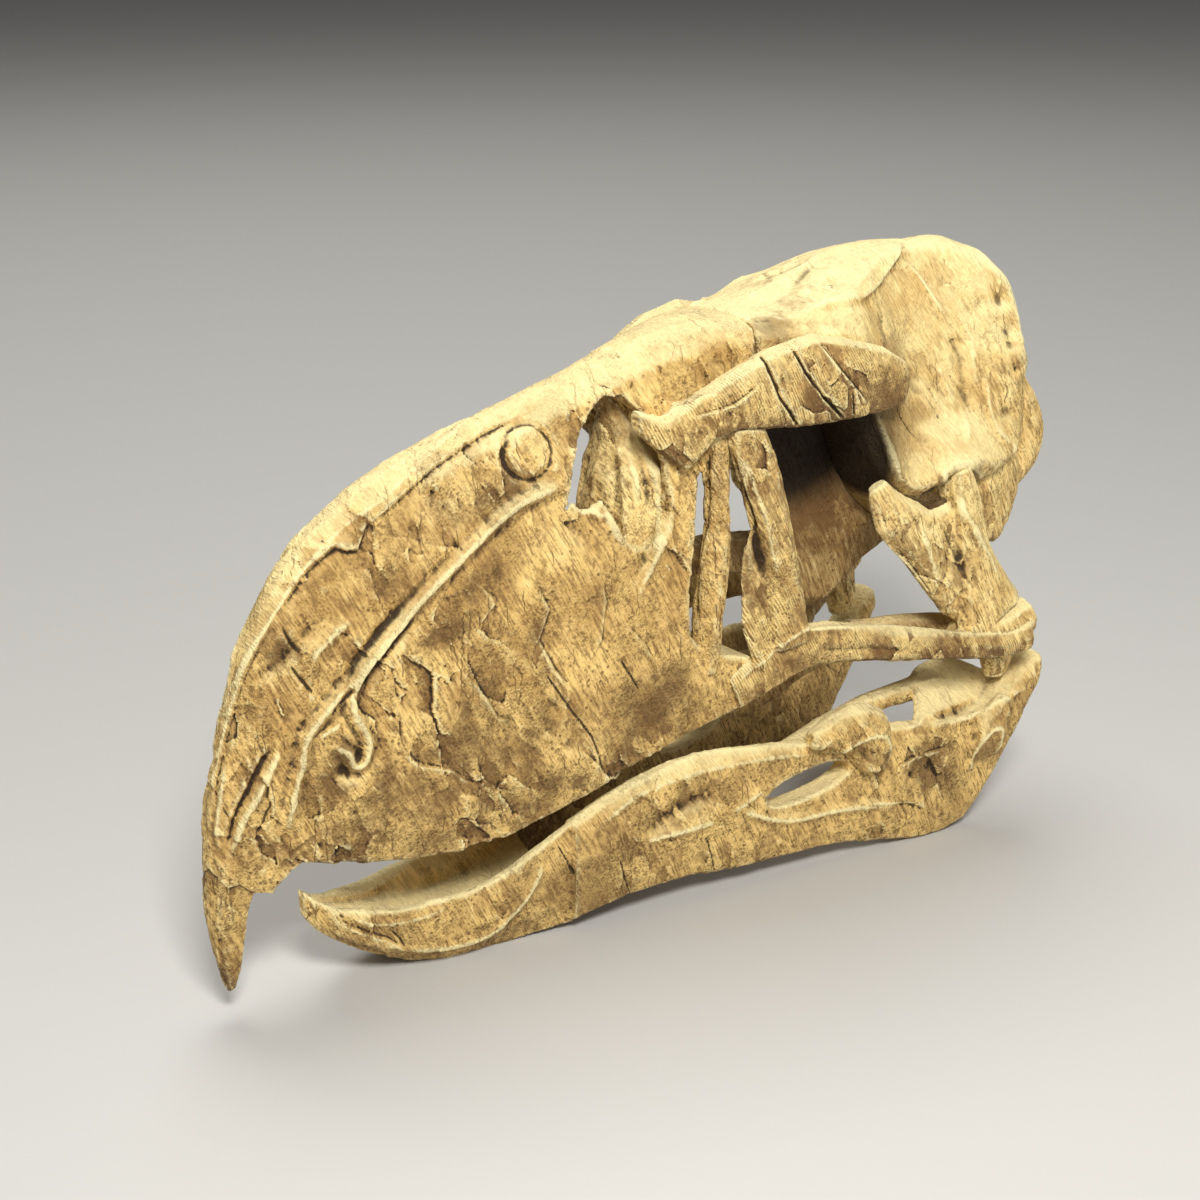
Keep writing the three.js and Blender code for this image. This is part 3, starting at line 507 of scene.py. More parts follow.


# the bone's own mottled tone, stains and wear, with painted highlight and painted shade laid over them
def agedToneAndLightGroup():
    group, given, out = groupNamed("aged_tone_and_painted_light", {
        "Ground": (0.58, 0.36, 0.115, 1.0), "Gold": (0.89, 0.61, 0.215, 1.0), "BrownStainAndShade": (0.15, 0.075, 0.024, 1.0),
        "CreamWearAndHighlight": (0.97, 0.84, 0.45, 1.0), "ShadeBlack": (0.016, 0.008, 0.003, 1.0), "Lift": 0.5, "GrimeAndShade": 1.0, "Wear": 1.0,
    }, {"Tone": "NodeSocketColor", "Roughness": "NodeSocketFloat"})
    place = add(group, "TexCoord").outputs["Object"]
    mask = {name: add(group, "Attribute", attribute_name=name).outputs["Fac"]
            for name in ("edge", "crest", "hollow", "upward", "stain", "flake", "mark_light_and_shade")}

    def around(value, middle, gain):
        return calc(group, "MULTIPLY", calc(group, "SUBTRACT", value, middle), gain)

    def share(value, low, high, most):
        return calc(group, "MULTIPLY", spread(group, value, low, high), most)

    broad = noiseOn(group, place, 34.0, 4.0, 0.6)
    middle = noiseOn(group, place, 150.0, 6.0, 0.76)
    ground = calc(group, "ADD", around(broad, 0.5, 2.4), around(middle, 0.5, 2.2))
    ground = calc(group, "ADD", ground, calc(group, "MULTIPLY", mask["flake"], 0.6))
    tone = blend(group, spread(group, ground, -0.5, 0.5), given["Ground"], given["Gold"])
    # cream on tops, partly paler wear and partly painted top light, and on what stands proud, worn and painted
    # highlight
    high = calc(group, "ADD", mask["upward"], around(broad, 0.5, 1.0))
    high = calc(group, "MULTIPLY", share(high, 0.15, 0.85, 0.75), given["Wear"])
    tone = blend(group, high, tone, given["CreamWearAndHighlight"])
    proud_wear_and_highlight = calc(group, "ADD", mask["crest"], around(middle, 0.5, 0.3))
    proud_wear_and_highlight = calc(group, "MULTIPLY", share(proud_wear_and_highlight, 0.05, 0.4, 0.6), given["Wear"])
    tone = blend(group, proud_wear_and_highlight, tone, given["CreamWearAndHighlight"])
    # brown where it is stained and where stain spots paint shade, less on tops facing up as painted shade, in patches
    # that break up at their rims
    dirt_and_shade = calc(group, "ADD", mask["stain"], around(middle, 0.5, 2.4))
    dirt_and_shade = calc(group, "SUBTRACT", dirt_and_shade, around(broad, 0.5, 1.4))
    dirt_and_shade = calc(group, "SUBTRACT", dirt_and_shade, calc(group, "MULTIPLY", mask["upward"], 0.42))
    dirt_and_shade = calc(group, "SUBTRACT", dirt_and_shade, calc(group, "MULTIPLY", mask["flake"], 0.45))
    dirt_and_shade = calc(group, "MULTIPLY", share(dirt_and_shade, 0.1, 0.9, 0.8), given["GrimeAndShade"])
    tone = blend(group, dirt_and_shade, tone, given["BrownStainAndShade"])
    # painted shade in brown: low parts of the fine relief, most where they face down, dips, creases and wide hollows
    low = calc(group, "SUBTRACT", 1.0, spread(group, given["Lift"], 0.16, 0.62))
    downward_shade = calc(group, "SUBTRACT", 0.76, calc(group, "MULTIPLY", spread(group, mask["upward"], 0.0, 0.6), 0.6))
    tone = blend(group, calc(group, "MULTIPLY", low, downward_shade), tone, given["BrownStainAndShade"])
    dip = calc(group, "ADD", mask["crest"], around(middle, 0.5, 0.25))
    tone = blend(group, share(calc(group, "MULTIPLY", dip, -1.0), 0.08, 0.5, 0.6), tone, given["BrownStainAndShade"])
    deep = calc(group, "ADD", mask["hollow"], around(middle, 0.5, 0.8))
    tone = blend(group, share(deep, 0.2, 1.6, 0.6), tone, given["BrownStainAndShade"])
    # painted highlight on the highest grain, and edges and ridges rubbed pale, as wear and painted highlight
    grain_top_highlight = calc(group, "MULTIPLY", calc(group, "SUBTRACT", 1.0, spread(group, mask["stain"], 0.2, 0.9)), 0.45)
    tone = blend(group, calc(group, "MULTIPLY", spread(group, given["Lift"], 0.6, 0.95), grain_top_highlight), tone, given["CreamWearAndHighlight"])
    rubbed_edges_and_highlight = calc(group, "ADD", mask["edge"], around(middle, 0.5, 0.15))
    rubbed_edges_and_highlight = calc(group, "ADD", rubbed_edges_and_highlight, calc(group, "MULTIPLY", mask["mark_light_and_shade"], 0.16))
    rubbed_edges_and_highlight = calc(group, "MULTIPLY", share(rubbed_edges_and_highlight, 0.08, 0.3, 0.75), given["Wear"])
    tone = blend(group, rubbed_edges_and_highlight, tone, given["CreamWearAndHighlight"])
    # painted shade in near black: creases, low grain and the low sides of marks
    crease_shade = calc(group, "SUBTRACT", around(given["Lift"], 0.5, -0.06), mask["edge"])
    crease_shade = calc(group, "SUBTRACT", crease_shade, calc(group, "MULTIPLY", mask["mark_light_and_shade"], 0.16))
    tone = blend(group, share(crease_shade, 0.07, 0.28, 0.88), tone, given["ShadeBlack"])
    # the deepest stain spots, painted shade in near black where shade falls in the orbit, under rims and in openings,
    # over all of it
    deepest_spot_shade = calc(group, "ADD", mask["stain"], around(middle, 0.5, 0.6))
    tone = blend(group, share(deepest_spot_shade, 0.8, 2.1, 0.97), tone, given["ShadeBlack"])
    group.links.new(tone, out["Tone"])
    group.links.new(calc(group, "ADD", 0.62, calc(group, "MULTIPLY", low, 0.25)), out["Roughness"])
    return group


layerGrain = layerGrainGroup()
boneRelief = boneReliefGroup(layerGrain)
agedToneAndLight = agedToneAndLightGroup()

finishes = {
    "beak_bone": {"relief": {"Lines": 0.1, "Fibres": 0.34, "Rough": 0.95, "Pits": 0.5, "Cracks": 0.4},
                  "tone": {"GrimeAndShade": 1.0, "Wear": 0.9}},
    "skull_bone": {"relief": {"Lines": 0.05, "Fibres": 0.22, "Rough": 0.45, "Pits": 0.22, "Cracks": 0.3},
                   "tone": {"GrimeAndShade": 0.6, "Wear": 1.0,
                            "Ground": (0.74, 0.5, 0.18, 1.0), "Gold": (0.95, 0.72, 0.3, 1.0)}},
    "layered_bone": {"relief": {"Lines": 0.34, "Fibres": 0.3, "Rough": 0.75, "Pits": 0.45, "Cracks": 0.25},
                     "tone": {"GrimeAndShade": 1.0, "Wear": 1.0,
                              "Ground": (0.6, 0.38, 0.13, 1.0), "Gold": (0.94, 0.68, 0.26, 1.0)}},
    "jaw_bone": {"relief": {"Lines": 0.12, "Fibres": 0.3, "Rough": 0.85, "Pits": 0.45, "Cracks": 0.35},
                 "tone": {"GrimeAndShade": 0.7, "Wear": 1.0, "Ground": (0.62, 0.4, 0.135, 1.0)}},
    # a darker copy of the bone finish: painted shade for the walls and plates deep inside the skull
    "inner_bone": {"relief": {"Lines": 0.06, "Fibres": 0.3, "Rough": 0.3, "Pits": 0.3, "Cracks": 0.2},
                   "tone": {"GrimeAndShade": 1.0, "Wear": 0.4,
                            "Ground": (0.36, 0.22, 0.075, 1.0), "Gold": (0.56, 0.38, 0.15, 1.0)}},
}


def boneLook(name, finish):
    look = bpy.data.materials.new(name)
    look.use_nodes = True
    tree = look.node_tree
    shader = tree.nodes["Principled BSDF"]
    tone = add(tree, "Group", node_tree=agedToneAndLight)
    for label, value in finish["tone"].items():
        tone.inputs[label].default_value = value
    relief = add(tree, "Group", node_tree=boneRelief)
    for label, value in finish["relief"].items():
        relief.inputs[label].default_value = value
    tree.links.new(relief.outputs["Lift"], tone.inputs["Lift"])
    bump = add(tree, "Bump", {"Height": relief.outputs["Height"], "Distance": mm, "Strength": 1.0})
    tree.links.new(tone.outputs["Tone"], shader.inputs["Base Color"])
    tree.links.new(tone.outputs["Roughness"], shader.inputs["Roughness"])
    tree.links.new(bump.outputs[0], shader.inputs["Normal"])
    shader.inputs["Specular IOR Level"].default_value = 0.35
    return look


looks = {name: boneLook(name, finish) for name, finish in finishes.items()}
print("finishes ready")


# a piece has its solids, the mesh size of its skin in mm, rounds of smoothing, most triangles and finish
# a mark is its kind, width, height and path in mm, with x to the rear, minus y on the left and z up;
# a ring has its radius last
# a stain is its place, radius and strength, the strongest stains paint dark shade into the orbit, under rims and into
# openings, and a strength below 0 makes the place paler

beak = {
    "nodes": ["upper_beak", "tear_column_left", "tear_column_right"],
    "mesh": 0.75, "rounds": 24, "most": 192000, "slot": "bone", "finish": "beak_bone",
    "softer": [(-8, -22, 170, 34)],
    "wear": {"seed": 11, "flake": 12, "flakes": 0.72, "dents": 0.8, "fine": 0.16},
    "marks": [
        # the long rib from the nostril down to the hook, and its branches
        ("rib", 1.9, 2.3, (-51, -19, 182), (-68, -17, 178), (-86, -17, 168), (-101, -17, 158), (-114, -16, 148),
         (-124, -16, 141), (-131, -16, 134), (-140, -16, 126), (-147, -15, 120), (-153, -15, 115), (-159, -14, 107),
         (-161, -14, 98), (-164, -13, 89), (-167, -12, 74)),
        ("rib", 1.7, 2.7, (-115, -16, 147), (-127, -16, 138), (-135, -16, 130), (-140, -16, 121), (-141, -16, 114),
         (-136, -17, 103), (-138, -18, 95), (-142, -17, 94), (-144, -17, 99), (-150, -16, 104)),
        ("ridge", 1.2, 1.2, (-144, -16, 112), (-152, -15, 108), (-157, -14, 105)),
        ("ridge", 2.2, 1.9, (-155, -13, 130), (-153, -13, 138), (-150, -13, 141), (-143, -14, 146), (-136, -14, 149)),
        ("pit", 3.6, 2.4, (-146, -16, 92)), ("pit", 2.2, 1.5, (-140, -17, 97)),
        # the hook
        ("groove", 1.3, 2.6, (-171, -12, 107), (-175, -11, 101), (-180, -10, 92), (-186, -9, 82), (-189, -7, 71)),
        ("ridge", 1.5, 1.6, (-168, -12, 106), (-172, -12, 99), (-177, -11, 90), (-183, -10, 81), (-187, -8, 70)),
        ("groove", 0.9, 0.9, (-179, -10, 74), (-176, -10, 78), (-174, -11, 83), (-172, -11, 87)),
        ("ridge", 1.3, 1.1, (-186, -5, 103), (-188, -5, 93), (-190, -5, 82), (-191, -5, 71)),
        ("crack", 0.9, 0.8, (-189, -6, 87), (-187, -8, 82), (-185, -9, 77)),
        # the top strip, its ledge, fold and cracks
        ("ledge", 3.5, 1.1, (-58, -7, 208), (-77, -6, 203), (-99, -8, 195), (-120, -10, 184), (-129, -10, 179)),
        ("ledge", 3.5, 1.9, (-129, -10, 179), (-133, -11, 172), (-137, -10, 172), (-141, -9, 174), (-147, -8, 170),
         (-152, -7, 166)),
        ("ledge", 3.0, 1.1, (-152, -7, 166), (-160, -6, 157), (-169, -5, 145), (-177, -4, 131), (-183, -3, 115),
         (-187, -2, 100), (-190, -2, 86)),
        ("groove", 2.4, 1.6, (-146, -13, 151), (-153, -12, 148), (-158, -12, 144), (-163, -11, 139), (-169, -9, 135),
         (-176, -6, 128)),
        ("crack", 1.0, 1.2, (-163, -9, 149), (-161, -11, 143), (-158, -12, 139)),
        ("crack", 1.0, 1.3, (-162, -12, 135), (-159, -13, 130), (-155, -14, 124)),
        ("pit", 2.0, 0.9, (-164, -11, 141)),
        # the round dip before the nostril
        ("ring", 1.3, 1.1, (-62, -13, 195), 9.5),
        ("groove", 1.2, 1.0, (-66, -10, 203), (-71, -12, 197), (-70, -14, 190), (-64, -15, 186)),
        ("pit", 1.5, 0.6, (-56, -13, 199)), ("pit", 2.2, 0.6, (-74, -9, 207)),
        ("ridge", 1.2, 0.8, (-33, 6, 222), (-53, 4, 215), (-77, 0, 207), (-99, -5, 199), (-120, -8, 187),
         (-135, -7, 180),
         (-148, -7, 171), (-157, -6, 162), (-163, -6, 153), (-173, -4, 140), (-179, -1, 128), (-184, 1, 114)),
        # ledges and ridges of the side
        ("ledge", 3.6, 0.9, (-65, -21, 149), (-60, -23, 137), (-65, -23, 126), (-59, -25, 113), (-52, -27, 104)),
        ("ledge", 3.6, 0.8, (-38, -25, 148), (-36, -26, 136), (-39, -27, 121), (-44, -27, 114)),
        ("ridge", 1.8, 1.4, (-49, -20, 176), (-36, -22, 169), (-33, -23, 167), (-30, -24, 160), (-27, -26, 154)),
        ("ridge", 2.0, 1.6, (-9, -24, 175), (-5, -21, 167), (-8, -24, 158), (-13, -27, 150), (-20, -27, 139),
         (-24, -28, 134)),
        ("groove", 2.6, 1.4, (-13, -24, 160), (-18, -26, 150), (-25, -27, 140)),
        ("groove", 1.2, 0.5, (-112, -17, 142), (-106, -18, 136), (-98, -19, 133), (-92, -19, 138)),
        ("ledge", 3.6, 0.7, (-92, -19, 156), (-82, -20, 145), (-84, -20, 132)),
        ("ledge", 3.4, 0.8, (-98, -18, 122), (-90, -20, 112), (-84, -21, 100), (-76, -23, 96)),
        ("ledge", 3.2, 0.8, (-124, -16, 98), (-116, -17, 88), (-104, -19, 84), (-96, -20, 76)),
        ("ledge", 3.2, 0.7, (-30, -28, 128), (-20, -30, 116), (-14, -31, 104)),
        ("crack", 0.9, 0.9, (-63, -25, 112), (-54, -27, 98), (-45, -29, 84), (-40, -28, 70)),
        ("crack", 0.9, 0.8, (-31, -29, 112), (-27, -30, 105), (-23, -30, 98)),
        ("groove", 2.0, 0.9, (-156, -15, 70), (-152, -15, 63), (-146, -15, 57)), ("lump", 3.0, 1.0, (-145, -16, 63)),
        # the roof before the brow
        ("ledge", 2.0, 0.8, (39, -25, 224), (37, -21, 229), (41, -13, 232)), ("pit", 4.0, 0.7, (20, -20, 221)),
        ("pit", 2.4, 0.6, (6, -20, 212)),
        ("crack", 0.8, 0.6, (-40, -12, 218), (-35, -17, 212), (-30, -21, 204)),
        ("crack", 0.8, 0.6, (-46, -12, 216), (-42, -16, 210), (-36, -20, 202)),
        ("groove", 1.3, 1.4, (9, -31, 190), (10, -30, 176), (10, -30, 165), (10, -28, 151), (9, -27, 137),
         (6, -29, 119)),
    ],
    "stains": [
        (-110, -16, 75, 34, 0.5), (-60, -27, 72, 26, 0.45), (-20, -30, 90, 20, 0.6), (-5, -30, 100, 14, 0.4),
        (-140, -15, 70, 20, 0.35), (-98, -18, 100, 14, 0.35), (-90, -20, 88, 10, 0.5), (-72, -22, 92, 9, 0.4),
        (-85, -17, 182, 14, 0.5), (-120, -14, 165, 16, 0.35), (-164, -10, 141, 8, 0.9), (-145, -16, 100, 5, 0.9),
        (-101, -17, 133, 7, 0.5), (-65, -22, 130, 6, 0.6), (-62, -24, 115, 5, 0.7), (-40, -25, 140, 7, 0.5),
        (-180, -9, 95, 9, 0.3), (-188, -6, 60, 10, 0.3), (-190, -2, 12, 12, 0.5),
        # the first four stains are painted shade along the low side of the long rib
        (-62, -20, 166, 8, 0.55), (-78, -19, 155, 9, 0.55), (-93, -19, 144, 9, 0.5), (-108, -17, 134, 7, 0.4),
        (-70, -14, 184, 9, 0.45), (14, -32, 150, 16, -0.5), (-50, -25, 125, 12, -0.3), (-28, -27, 140, 12, -0.3),
        (-150, -16, 92, 8, 0.6), (-172, -11, 62, 8, 0.5), (-30, -27, 62, 14, 0.4),
    ],
}

braincase = {
    "nodes": ["cranium", "occipital_condyle", "ear_wing_left", "ear_wing_right"],
    "mesh": 0.8, "rounds": 22, "most": 150000, "slot": "bone", "finish": "skull_bone",
    "wear": {"seed": 31, "flake": 15, "flakes": 0.45, "dents": 0.9, "fine": 0.1},
    "marks": [
        # the crest between roof and temple, and the rim round the back
        ("ledge", 4.0, 1.3, (134, -5, 249), (121, -12, 244), (107, -19, 238), (90, -27, 235)),
        ("ridge", 1.8, 0.8, (134, -5, 249), (121, -12, 244), (107, -19, 238), (90, -27, 235)),
        ("ridge", 1.5, 1.4, (129, -11, 243), (134, -15, 236), (138, -19, 229), (143, -24, 220)),
        ("ridge", 3.2, 1.9, (168, -2, 247), (172, -16, 239), (176, -24, 228), (178, -31, 216), (175, -35, 204),
         (176, -37, 189)),
        ("groove", 6.0, 1.6, (135, -24, 216), (133, -30, 201), (130, -37, 186), (126, -44, 175)),
        ("ridge", 1.4, 1.1, (17, -15, 228), (34, -16, 231), (45, -18, 232), (53, -26, 231)),
        ("groove", 7.0, 2.2, (112, -29, 217), (120, -33, 203), (128, -38, 188)),
        ("groove", 2.0, 1.0, (104, -23, 232), (102, -28, 221), (106, -30, 211)),
        ("ridge", 2.6, 1.4, (86, -43, 188), (91, -45, 179), (94, -45, 169), (93, -46, 160)),
        ("pit", 4.0, 1.6, (170, -27, 225)), ("pit", 4.0, 1.6, (170, -32, 213)),
        ("ridge", 1.8, 1.1, (157, -33, 198), (156, -37, 183), (160, -41, 171), (175, -36, 158)),
        ("ridge", 1.4, 0.8, (142, -39, 181), (134, -47, 171)),
        ("pit", 4.0, 2.2, (166, -39, 180)), ("groove", 1.4, 1.4, (172, -38, 194), (170, -37, 201)),
        ("pit", 3.4, 1.0, (169, -35, 207)), ("pit", 3.0, 0.7, (166, -31, 217)), ("pit", 3.0, 0.8, (160, -28, 226)),
        ("ridge", 2.2, 1.3, (122, -43, 154), (117, -50, 164), (124, -50, 167), (136, -49, 164), (152, -40, 153)),
        ("pit", 4.6, 1.1, (45, -23, 230)), ("pit", 3.4, 0.7, (39, -21, 230)),
        ("ridge", 2.0, 1.2, (50, -6, 235), (56, 0, 237), (62, 3, 239), (76, 4, 243)),
        ("groove", 3.2, 1.8, (63, -13, 237), (70, -9, 240), (76, -6, 243), (84, -4, 246), (89, -12, 246)),
        ("pit", 6.0, 1.6, (80, -19, 241)),
        ("ridge", 2.4, 1.2, (60, -24, 234), (74, -27, 236), (90, -27, 237), (104, -20, 241)),
        ("groove", 1.5, 0.6, (146, -18, 238), (152, -24, 228), (158, -30, 215)),
        ("groove", 1.6, 0.7, (100, -34, 222), (104, -37, 205), (108, -38, 190)),
        ("groove", 1.1, 0.5, (118, -33, 215), (124, -37, 200), (128, -40, 188)),
        ("groove", 1.0, 0.5, (112, -33, 218), (120, -38, 198), (127, -42, 182)),
        ("groove", 1.0, 0.4, (130, -30, 216), (138, -36, 200), (144, -38, 190)),
        ("ridge", 2.4, 1.3, (120, -30, 226), (128, -33, 212), (134, -36, 198), (136, -39, 184)),
        ("ridge", 2.2, 1.1, (148, -26, 226), (152, -31, 212), (150, -36, 198), (154, -38, 186)),
        ("groove", 3.0, 1.2, (142, -28, 222), (145, -33, 206), (144, -38, 190), (148, -40, 176)),
        ("ridge", 1.8, 0.9, (98, -32, 226), (102, -36, 212), (100, -40, 198)),
        ("crack", 0.8, 0.6, (100, -36, 200), (104, -40, 188), (112, -43, 176)),
        # the opening for the spinal cord and the crests above it
        ("pit", 5.2, 6.0, (186, 0, 181)),
        ("ridge", 1.8, 1.1, (186, -8, 175), (186, -9, 183), (186, -5, 189), (186, 0, 191)),
        ("ridge", 1.8, 1.1, (185, 0, 192), (185, 0, 203), (185, 0, 214)),
        ("ridge", 2.2, 1.4, (185, 0, 214), (185, -13, 211), (183, -24, 202), (180, -32, 190)),
        ("pit", 5.5, 1.5, (186, -13, 199)), ("pit", 4.5, 1.6, (186, -17, 177)), ("pit", 7.0, 1.2, (184, -10, 222)),
    ],
    "stains": [
        (45, -23, 230, 8, 0.75), (34, -22, 228, 6, 0.5), (70, -10, 240, 10, 0.6), (88, -10, 246, 7, 0.5),
        (166, -39, 180, 6, 0.8),
        (108, -38, 205, 10, 0.45), (110, -40, 180, 12, 0.35), (120, -48, 160, 6, 0.7), (150, -30, 215, 9, 0.25),
        # painted shade: the orbit's dark under the brow
        (60, -14, 198, 26, 2.6), (74, -24, 186, 24, 2.6), (80, -30, 168, 17, 2.6), (80, -14, 160, 26, 2.6),
        (84, -24, 150, 14, 1.2),
        # painted shade under the rim over the ear
        (122, -45, 154, 7, 2.0), (136, -44, 156, 8, 2.0), (110, -36, 154, 7, 1.8),
        # painted shade inside the opening for the spinal cord
        (184, 0, 181, 5, 2.6), (186, -13, 199, 7, 0.5), (186, -17, 177, 6, 0.5),
        (112, -32, 214, 13, 0.7), (102, -36, 200, 10, 0.6), (104, -32, 226, 8, 0.5), (128, -37, 190, 9, 0.4),
        (165, -30, 222, 8, 0.5), (168, -36, 200, 8, 0.45),
    ],
}


def browOn(side):
    return {
        "nodes": ["brow_" + side], "mesh": 0.55, "rounds": 20, "most": 60000, "slot": "bone", "finish": "layered_bone",
        "wear": {"seed": 51 + len(side), "flake": 9, "flakes": 0.32, "dents": 0.3, "fine": 0.12},
        "marks": [
            ("ridge", 1.3, 1.8, (-5, -23, 204), (12, -22, 211), (30, -24, 218), (51, -29, 226), (73, -36, 225),
             (97, -30, 219)),
            ("ridge", 1.0, 0.8, (-14, -17, 211), (-7, -27, 203), (5, -21, 208), (20, -22, 215), (39, -25, 222),
             (52, -28, 228), (62, -32, 227), (83, -36, 221), (104, -29, 215)),
            ("crack", 1.0, 2.2, (27, -38, 224), (28, -43, 218), (33, -45, 207), (40, -45, 198), (43, -43, 194)),
            ("crack", 0.9, 1.7, (39, -43, 225), (44, -46, 216), (53, -47, 205), (64, -46, 195)),
            ("ledge", 1.8, 1.2, (51, -45, 226), (57, -47, 218), (65, -48, 210), (73, -49, 201)),
            ("crack", 0.7, 0.9, (66, -48, 206), (69, -47, 195)), ("pit", 1.4, 0.8, (13, -39, 204)),
            ("ledge", 1.6, 0.9, (0, -33, 203), (14, -39, 207), (24, -42, 214)),
        ],
        # the first four stains are painted shade under the brow's lower edge
        "stains": [(58, -47, 196, 11, 0.85), (84, -47, 198, 11, 0.85), (34, -44, 194, 10, 0.85),
                   (14, -39, 192, 9, 0.8),
                   (-5, -30, 190, 8, 0.5), (80, -47, 212, 12, 0.4), (54, -46, 209, 8, 0.3)],
    }


def cheekOn(side):
    return {
        "nodes": ["cheek_bar_" + side, "orbit_strut_" + side, "strut_lobe_" + side],
        "mesh": 0.6, "rounds": 20, "most": 80000, "slot": "bone", "finish": "layered_bone",
        "wear": {"seed": 61 + len(side), "flake": 8, "flakes": 0.3, "dents": 0.4, "fine": 0.14},
        "marks": [
            ("groove", 2.2, 2.6, (15, -34, 188), (22, -34, 173), (27, -35, 160), (30, -37, 146), (33, -39, 132)),
            ("ridge", 1.8, 1.4, (20, -36, 187), (27, -36, 173), (33, -37, 160), (36, -39, 146), (38, -41, 132)),
            ("ridge", 1.4, 0.9, (21, -35, 91), (33, -39, 100), (47, -44, 110), (60, -45, 109), (98, -50, 102),
             (126, -57, 95), (151, -62, 92)),
            ("groove", 1.4, 0.7, (55, -45, 100), (80, -49, 97), (105, -54, 92)),
        ],
        "stains": [(24, -36, 152, 12, 0.6), (28, -38, 128, 10, 0.6), (42, -42, 170, 8, 0.3), (50, -44, 98, 12, 0.3),
                   (90, -50, 92, 24, 0.5),
                   (132, -57, 90, 20, 0.5)],
    }


def quadrateOn(side):
    return {
        "nodes": ["quadrate_" + side], "mesh": 0.6, "rounds": 20, "most": 70000, "slot": "bone", "finish": "skull_bone",
        "wear": {"seed": 71 + len(side), "flake": 9, "flakes": 0.35, "dents": 0.5, "fine": 0.1},
        "marks": [
            ("ridge", 2.4, 1.8, (122, -50, 160), (126, -54, 148), (134, -56, 134), (142, -57, 122), (148, -57, 112)),
            ("groove", 2.6, 1.5, (118, -50, 150), (120, -52, 138), (126, -54, 126), (134, -55, 114)),
            ("ridge", 2.0, 1.2, (105, -50, 145), (108, -51, 136), (112, -52, 127), (116, -53, 118)),
            ("pit", 4.0, 1.2, (98, -49, 140)), ("pit", 3.0, 0.8, (112, -51, 143)),
            ("groove", 1.5, 0.9, (120, -51, 134), (120, -52, 124), (116, -53, 114)),
            ("crack", 0.8, 0.9, (101, -50, 125), (106, -51, 119), (111, -52, 112)),
            ("ledge", 1.6, 1.1, (93, -48, 133), (100, -50, 126), (107, -51, 118)),
        ],
        "stains": [(98, -49, 138, 8, 0.6), (112, -50, 128, 9, 0.5), (126, -54, 120, 9, 0.45),
                   (100, -48, 118, 8, 0.4)],
    }


innerWall = {
    "nodes": ["orbit_septum", "rostrum"],
    "mesh": 0.9, "rounds": 16, "most": 90000, "slot": "inner_bone", "finish": "inner_bone",
    "wear": {"seed": 81, "flake": 12, "flakes": 0.3, "dents": 0.6, "fine": 0.1},
    # its stains paint the orbit's shade, near black, onto the wall
    "marks": [], "stains": [(45, 0, 206, 50, 2.6), (84, 0, 186, 36, 2.4), (62, 0, 168, 20, 0.9)],
}

noseFan = {
    "nodes": ["nose_core"],
    "mesh": 0.6, "rounds": 30, "most": 60000, "slot": "inner_bone", "finish": "skull_bone",
    "wear": {"seed": 87, "flake": 9, "flakes": 0.3, "dents": 0.5, "fine": 0.1},
    "marks": [
        ("ridge", 2.6, 1.7, (-15, -8, 190), (-14, -14, 181), (-14, -17, 170), (-15, -18, 162)),
        ("ridge", 2.6, 1.7, (-9, -10, 188), (-6, -16, 180), (-5, -19, 168), (-8, -20, 156), (-14, -19, 149)),
        ("groove", 2.4, 1.6, (-18, -5, 188), (-19, -9, 180), (-20, -11, 170), (-20, -12, 162)),
        ("groove", 2.2, 1.3, (-11, -12, 184), (-10, -17, 174), (-11, -19, 162)),
        ("groove", 1.6, 1.2, (-3, -14, 182), (0, -18, 170), (-1, -20, 156)),
    ],
    # the first stain paints shade deep in the nostril
    "stains": [(-5, 0, 200, 14, 1.8), (-19, -8, 182, 6, 0.5)],
}

palate = {
    "nodes": ["palate_bone_left", "palate_bone_right", "wing_bone_left", "wing_bone_right"],
    "mesh": 0.9, "rounds": 16, "most": 90000, "slot": "inner_bone", "finish": "inner_bone",
    "wear": {"seed": 91, "flake": 12, "flakes": 0.25, "dents": 0.5, "fine": 0.1},
    "marks": [], "stains": [(0, -12, 100, 40, 0.3)],
}

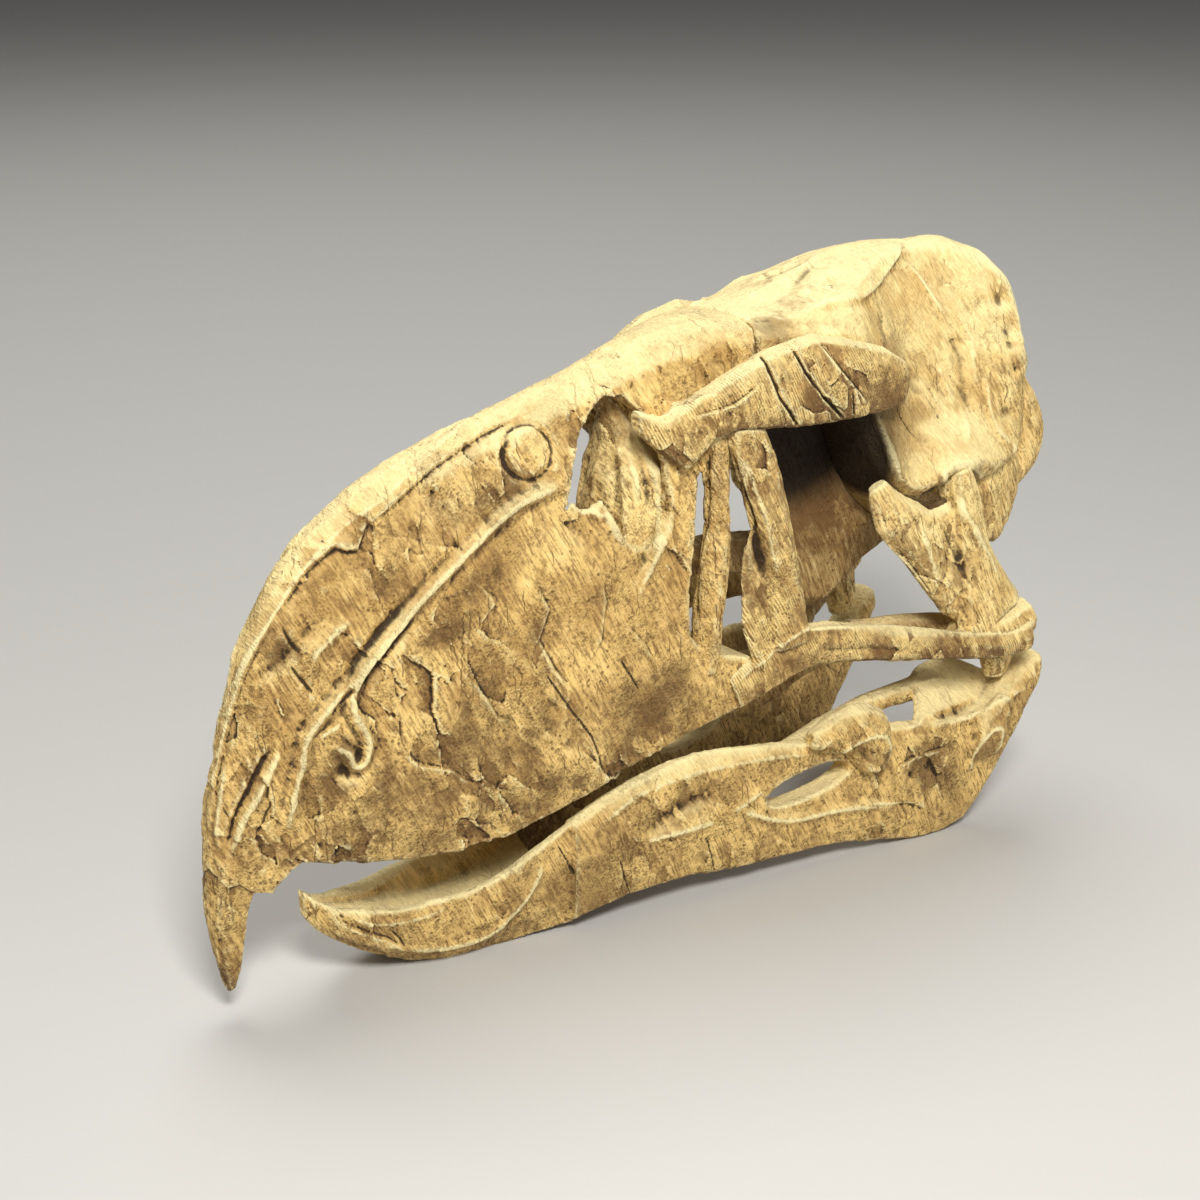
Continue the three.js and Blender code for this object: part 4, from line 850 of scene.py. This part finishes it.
lowerJaw = {
    "nodes": ["jaw_front"] + [part + side for side in ("_left", "_right") for part in (
        "jaw_blade", "jaw_rear", "jaw_knob", "jaw_heel", "jaw_inner_process", "jaw_inner_ridge")],
    "mesh": 0.75, "rounds": 22, "most": 192000, "slot": "bone", "finish": "jaw_bone",
    "wear": {"seed": 101, "flake": 11, "flakes": 0.45, "dents": 0.45, "fine": 0.14},
    "marks": [
        # the dip under the upper bar, and the ridges round it
        ("ridge", 1.3, 0.9, (-30, -28, 56), (8, -31, 62), (30, -35, 60), (54, -39, 57), (64, -50, 61)),
        ("groove", 3.8, 2.3, (-27, -31, 42), (-19, -32, 38), (-9, -33, 42), (6, -35, 46), (18, -37, 48)),
        ("ridge", 2.0, 1.2, (-41, -29, 45), (-22, -31, 54), (3, -34, 57), (33, -38, 56), (60, -42, 53)),
        ("ridge", 1.8, 1.6, (-21, -32, 33), (-2, -34, 34), (14, -36, 34)),
        ("ridge", 1.5, 1.1, (36, -39, 43), (22, -37, 37), (18, -37, 34)),
        ("ridge", 2.0, 1.6, (22, -37, 37), (46, -41, 26), (74, -45, 25), (103, -50, 21)),
        # the front spoon
        ("ridge", 1.8, 1.3, (-121, -13, 11), (-102, -17, 8), (-87, -20, 9), (-74, -22, 19), (-67, -24, 30),
         (-64, -24, 38)),
        ("ledge", 2.2, 1.1, (-143, -9, 27), (-136, -11, 22), (-129, -13, 18), (-120, -13, 11)),
        ("crack", 0.8, 0.9, (-128, -14, 22), (-124, -14, 17), (-122, -14, 13)),
        ("ridge", 1.2, 0.7, (-143, -8, 30), (-132, -12, 25), (-118, -15, 24), (-104, -17, 26)),
        # the knob's hood, with the hollow below it
        ("ridge", 1.4, 1.1, (63, -42, 51), (74, -52, 58), (84, -55, 59), (89, -55, 55), (92, -53, 46), (90, -48, 37)),
        ("pit", 5.5, 2.6, (77, -53, 50)), ("ring", 0.9, 0.5, (75, -48, 67), 5),
        ("groove", 1.0, 1.2, (95, -53, 66), (94, -53, 55), (93, -52, 45)),
        # the broken rear
        ("pit", 3.4, 1.6, (119, -52, 35)), ("pit", 2.6, 1.2, (108, -50, 33)),
        ("ledge", 2.2, 1.0, (99, -49, 38), (111, -51, 41), (128, -53, 41)),
        ("ridge", 1.6, 1.3, (140, -55, 24), (141, -56, 36), (146, -59, 45), (152, -60, 46), (153, -59, 37),
         (149, -57, 28)),
        ("groove", 3.0, 1.4, (113, -51, 39), (122, -52, 30), (131, -53, 20)),
        ("ledge", 2.0, 0.9, (119, -52, 14), (108, -50, 20), (85, -47, 25)),
        ("ridge", 1.8, 0.9, (95, -53, 65), (110, -51, 57), (125, -49, 52), (139, -52, 52), (151, -56, 56),
         (165, -58, 60)),
        ("crack", 0.8, 0.7, (-32, -30, 28), (-30, -31, 20), (-27, -30, 12)),
        ("crack", 0.8, 0.7, (8, -35, 28), (11, -35, 18), (14, -34, 9)),
        ("crack", 0.8, 0.7, (-58, -25, 40), (-54, -26, 32), (-52, -27, 24)),
        ("pit", 1.8, 0.8, (-46, -28, 28)),
    ],
    "stains": [
        # the first stain paints shade in the dip under the upper bar
        (-5, -33, 42, 12, 0.9), (-45, -28, 26, 12, 0.55), (-40, -28, 10, 24, 0.5), (30, -36, 8, 26, 0.5),
        (-75, -22, 30, 10, 0.35), (60, -43, 50, 7, 0.6),
        # the second stain paints shade in the hollow below the knob's hood
        (115, -52, 35, 14, 0.8), (77, -53, 50, 7, 0.7), (145, -57, 36, 10, 0.5), (128, -53, 24, 12, 0.5),
        (110, -50, 44, 10, 0.5), (-90, -14, 4, 24, 0.45),
        (-125, -10, 8, 9, 0.5), (-60, 0, 34, 30, 0.3), (-104, -16, 20, 20, -0.5), (82, -53, 62, 9, -0.5),
    ],
}

pieces = {"beak": beak, "nose_fan": noseFan, "braincase": braincase,
          "inner_wall": innerWall, "palate": palate, "lower_jaw": lowerJaw}
for side in ("left", "right"):
    pieces["brow_bone_" + side] = browOn(side)
    pieces["cheek_bone_" + side] = cheekOn(side)
    pieces["quadrate_bone_" + side] = quadrateOn(side)

total = 0
for name, bone in pieces.items():
    piece = boneFrom(name, bone)
    sculpt(piece, bone)
    maskPiece(piece, bone)
    thin(piece, bone["most"])
    piece.data.materials.append(looks[bone["finish"]])
    onlyThis(piece)
    bpy.ops.object.shade_smooth()
    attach(piece, "root")
    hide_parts(*bone["nodes"])
    count = trianglesOf(piece)
    total += count
    print("dressed", name, "with", count, "triangles")
print("triangles in all", total)
